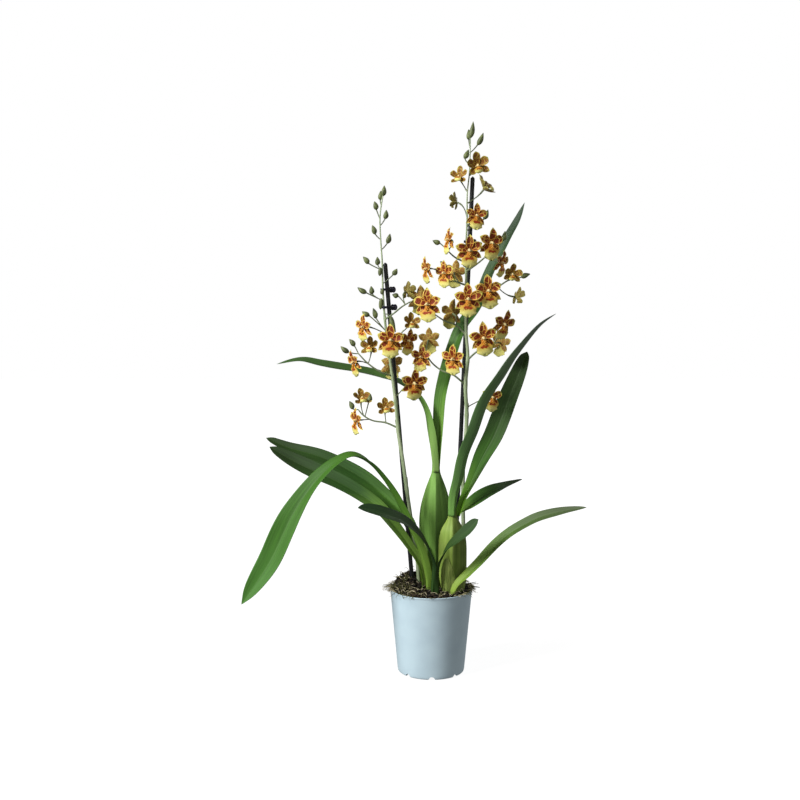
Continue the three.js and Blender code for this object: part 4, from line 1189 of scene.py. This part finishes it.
def make_flower(name, node, centre, heading, tilt, size, young):
    """One flower: dorsal sepal, two petals, two lateral sepals, skirt lip with callus, and column.
    A young one is still cupped, with a small lip and no warts."""
    build = Build()
    forward = facing(heading, tilt)
    across = Vector((0, 0, 1)).cross(forward).normalized()
    up = forward.cross(across)
    roll = math.radians(random.uniform(-9, 9))
    across, up = swing(across, up, roll), swing(up, -across, roll)
    at = Vector(centre)

    def place(x, y, z):
        return at + (across * x + up * y + forward * z) * size

    for k, (turn, length, width, lean, curl, outline) in enumerate(TEPALS):
        angle = math.radians(turn + random.uniform(-6, 6))
        cosine, sine = math.cos(angle), math.sin(angle)
        own = random.uniform(0, 50)
        wavy = random.uniform(0, 6)
        length *= random.uniform(0.95, 1.04)
        depth = lean + random.uniform(-0.8, 0.8)
        under = 0.8 if k == 0 else (0.4 if k < 3 else -0.6)

        def surface(s, t):
            shape = smooth_table(outline, t)
            half = max(0.1, width / 2 * shape)
            lift = under + depth * math.sin(t * math.pi / 2) * 1.2 - curl * t ** 4
            cup = 1.9 * s * s * shape * (1 - 0.3 * t)
            frill = 0.5 * s * abs(s) * math.sin(t * 11 + wavy + s)
            x, y = s * half, length * t
            if young:
                lift += 6.5 * t ** 1.4
                x, y = x * 0.92, y * (1 - 0.2 * t * t)
            return place(x * cosine + y * sine, y * cosine - x * sine, lift + cup + frill)

        build.blade(surface, 10, 14, PETAL_THICKNESS * size, 0, own, (width / 2, length))

    own = random.uniform(0, 50)
    wavy = random.uniform(0, 6)

    def skirt(s, t):
        half = smooth_table(LIP_OUTLINE, t)
        notch = 2.2 * math.exp(-(s / 0.16) ** 2) * smoothstep(t, 0.75, 1)
        lobes = 3.0 * s * s * smoothstep(t, 0.6, 1)
        y = -0.5 - LIP_LENGTH * t + notch + lobes
        lift = 2.0 + 5.0 * math.sin(t * 2.1) - 3.4 * t * t
        fall = -2.2 * s * s * smoothstep(t, 0.3, 0.7)
        frill = 0.8 * abs(s) ** 2.5 * math.sin(7 * s + 10 * t + wavy) * smoothstep(t, 0.35, 0.7)
        edge = 0.6 * smoothstep(t, 0.8, 1) * math.sin(9 * s + wavy)
        if young:
            return place(-s * half * 0.5, y * 0.45, 4 + lift * 0.8 + fall)
        return place(-s * half, y, lift + fall + frill + edge)

    build.blade(skirt, 20, 24, PETAL_THICKNESS * size, 1, own, (10, LIP_LENGTH))

    for x, y, z, r in () if young else WARTS:
        build.lump(place(x, y, z), (across * r * size, up * r * 1.4 * size, forward * r * size), 6, 8, 3)
    column = Line([place(0, -0.5, 0.4), place(0, 0.4, 3.2), place(0, -0.2, 6.0)], 5)
    build.limb(column, lambda t: size * (1.9 - 0.25 * t), 12, 8, 2)
    cap = place(0, -0.6, 6.4)
    build.lump(cap, (across * 1.9 * size, up * 1.7 * size, forward * 1.5 * size), 8, 14, 2)
    for hand in (-1, 1):
        root = place(1.2 * hand, -0.6, 4.2)

        def wing(s, t):
            return root + (across * hand * 2.6 * t - up * (1.2 * s * (1 - t * 0.6) + 0.8 * t)
                           + forward * 0.8 * t) * size

        build.blade(wing, 4, 4, 0.35 * size, 2)
    build.piece(name, [YOUNG_TEPAL if young else TEPAL, LIP, COLUMN, CALLUS], [node], "petal")


# ---------- the scene ----------

# Each lamp: its place and its width in metres, and its power in watts.
LAMPS = {"key_left": ((-2.2, -1.45, 1.9), 0.9, 118), "fill_front": ((-0.3, -2.6, 1.0), 1.4, 7),
         "back_right": ((1.8, 1.9, 1.5), 1.4, 26)}
LAMPS_AIM = Vector((-0.02, 0, 0.36))
FLOOR_REACH = 6000
DAYLIGHT = 0.22
# The eye: its place in metres, how many degrees down it looks, and its lens in mm.
EYE = (-0.045, -1.564, 0.533)
EYE_DIP = 5.1
LENS = 49.6


def make_floor():
    """White paper that glows enough to run into the white backdrop, and takes a faint shadow."""
    build = Build()
    build.grid([[(Vector((x * FLOOR_REACH, y * FLOOR_REACH, z)), *PLAIN)
                 for x, y in ((-1, -1), (1, -1), (1, 1), (-1, 1))] for z in (-20, -0.6)], 0, True, True)
    ground = build.shape("floor")
    paper, tree, skin = finish_of("white_paper_floor", Roughness=0.9, Emission_Color=colour("#ffffff"))
    place = add(tree, "TexCoord").outputs["Object"]
    far = add(tree, "VectorMath", (place,), operation="LENGTH")
    glow = add(tree, "MapRange", (far.outputs["Value"], 0.3, 1.1, 0.92, 1.02),
               interpolation_type="SMOOTHSTEP")
    feed(tree, glow, skin.inputs["Emission Strength"])
    grain = add(tree, "TexNoise", {"Vector": place, "Scale": 60.0, "Detail": 3.0})
    tone = add(tree, "ValToRGB", (grain,), [(0.0, "#626262"), (1.0, "#686868")])
    feed(tree, tone, skin.inputs["Base Color"])
    ground.data.materials.append(paper)
    ground.visible_diffuse = ground.visible_glossy = False


def make_light():
    """White all round behind the plant, a soft daylight from it, and three soft lamps."""
    world = bpy.data.worlds.new("studio")
    bpy.context.scene.world = world
    world.use_nodes = True
    sky = world.node_tree.nodes["Background"]
    sky.inputs["Color"].default_value = (1, 1, 1, 1)
    seen = add(world.node_tree, "LightPath").outputs["Is Camera Ray"]
    feed(world.node_tree, add(world.node_tree, "MapRange", (seen, 0.0, 1.0, DAYLIGHT, 1.0)),
         sky.inputs["Strength"])
    for name, (place, width, power) in LAMPS.items():
        lamp = bpy.data.lights.new(name, "AREA")
        lamp.shape = "SQUARE"
        lamp.size = width
        lamp.energy = power
        light = bpy.data.objects.new(name, lamp)
        light.location = place
        light.rotation_euler = (LAMPS_AIM - Vector(place)).to_track_quat("-Z", "Y").to_euler()
        bpy.context.scene.collection.objects.link(light)


def make_camera():
    """The eye of someone seated before the plant, looking a little down."""
    eye = bpy.data.cameras.new("camera")
    eye.sensor_width = 36
    eye.lens = LENS
    eye.clip_end = 50
    camera = bpy.data.objects.new("camera", eye)
    camera.location = EYE
    camera.rotation_euler = (math.radians(90 - EYE_DIP), 0, 0)
    bpy.context.scene.collection.objects.link(camera)
    bpy.context.scene.camera = camera
    bpy.context.scene.view_settings.view_transform = "Standard"


make_floor()
make_light()
make_camera()
make_pot()
make_bark()
for name, plan in STAKES.items():
    make_stake(name, plan)
for name, (spike, z) in CLIPS.items():
    make_clip(name, spike, z)
for name, plan in BULBS.items():
    make_bulb(name, plan)
make_sheaths()
for name, plan in LEAVES.items():
    make_leaf(name, plan)
for side, plan in SPIKES.items():
    make_spike(side, plan)
    for i, (centre, heading, tilt, size, _) in enumerate(plan["flowers"]):
        node = f"flower_{side}_{i + 1:02d}"
        young = i + 1 in HALF_OPEN[side]
        make_flower(f"bloom_{side}_{i + 1:02d}", node, centre, heading, tilt, size, young)
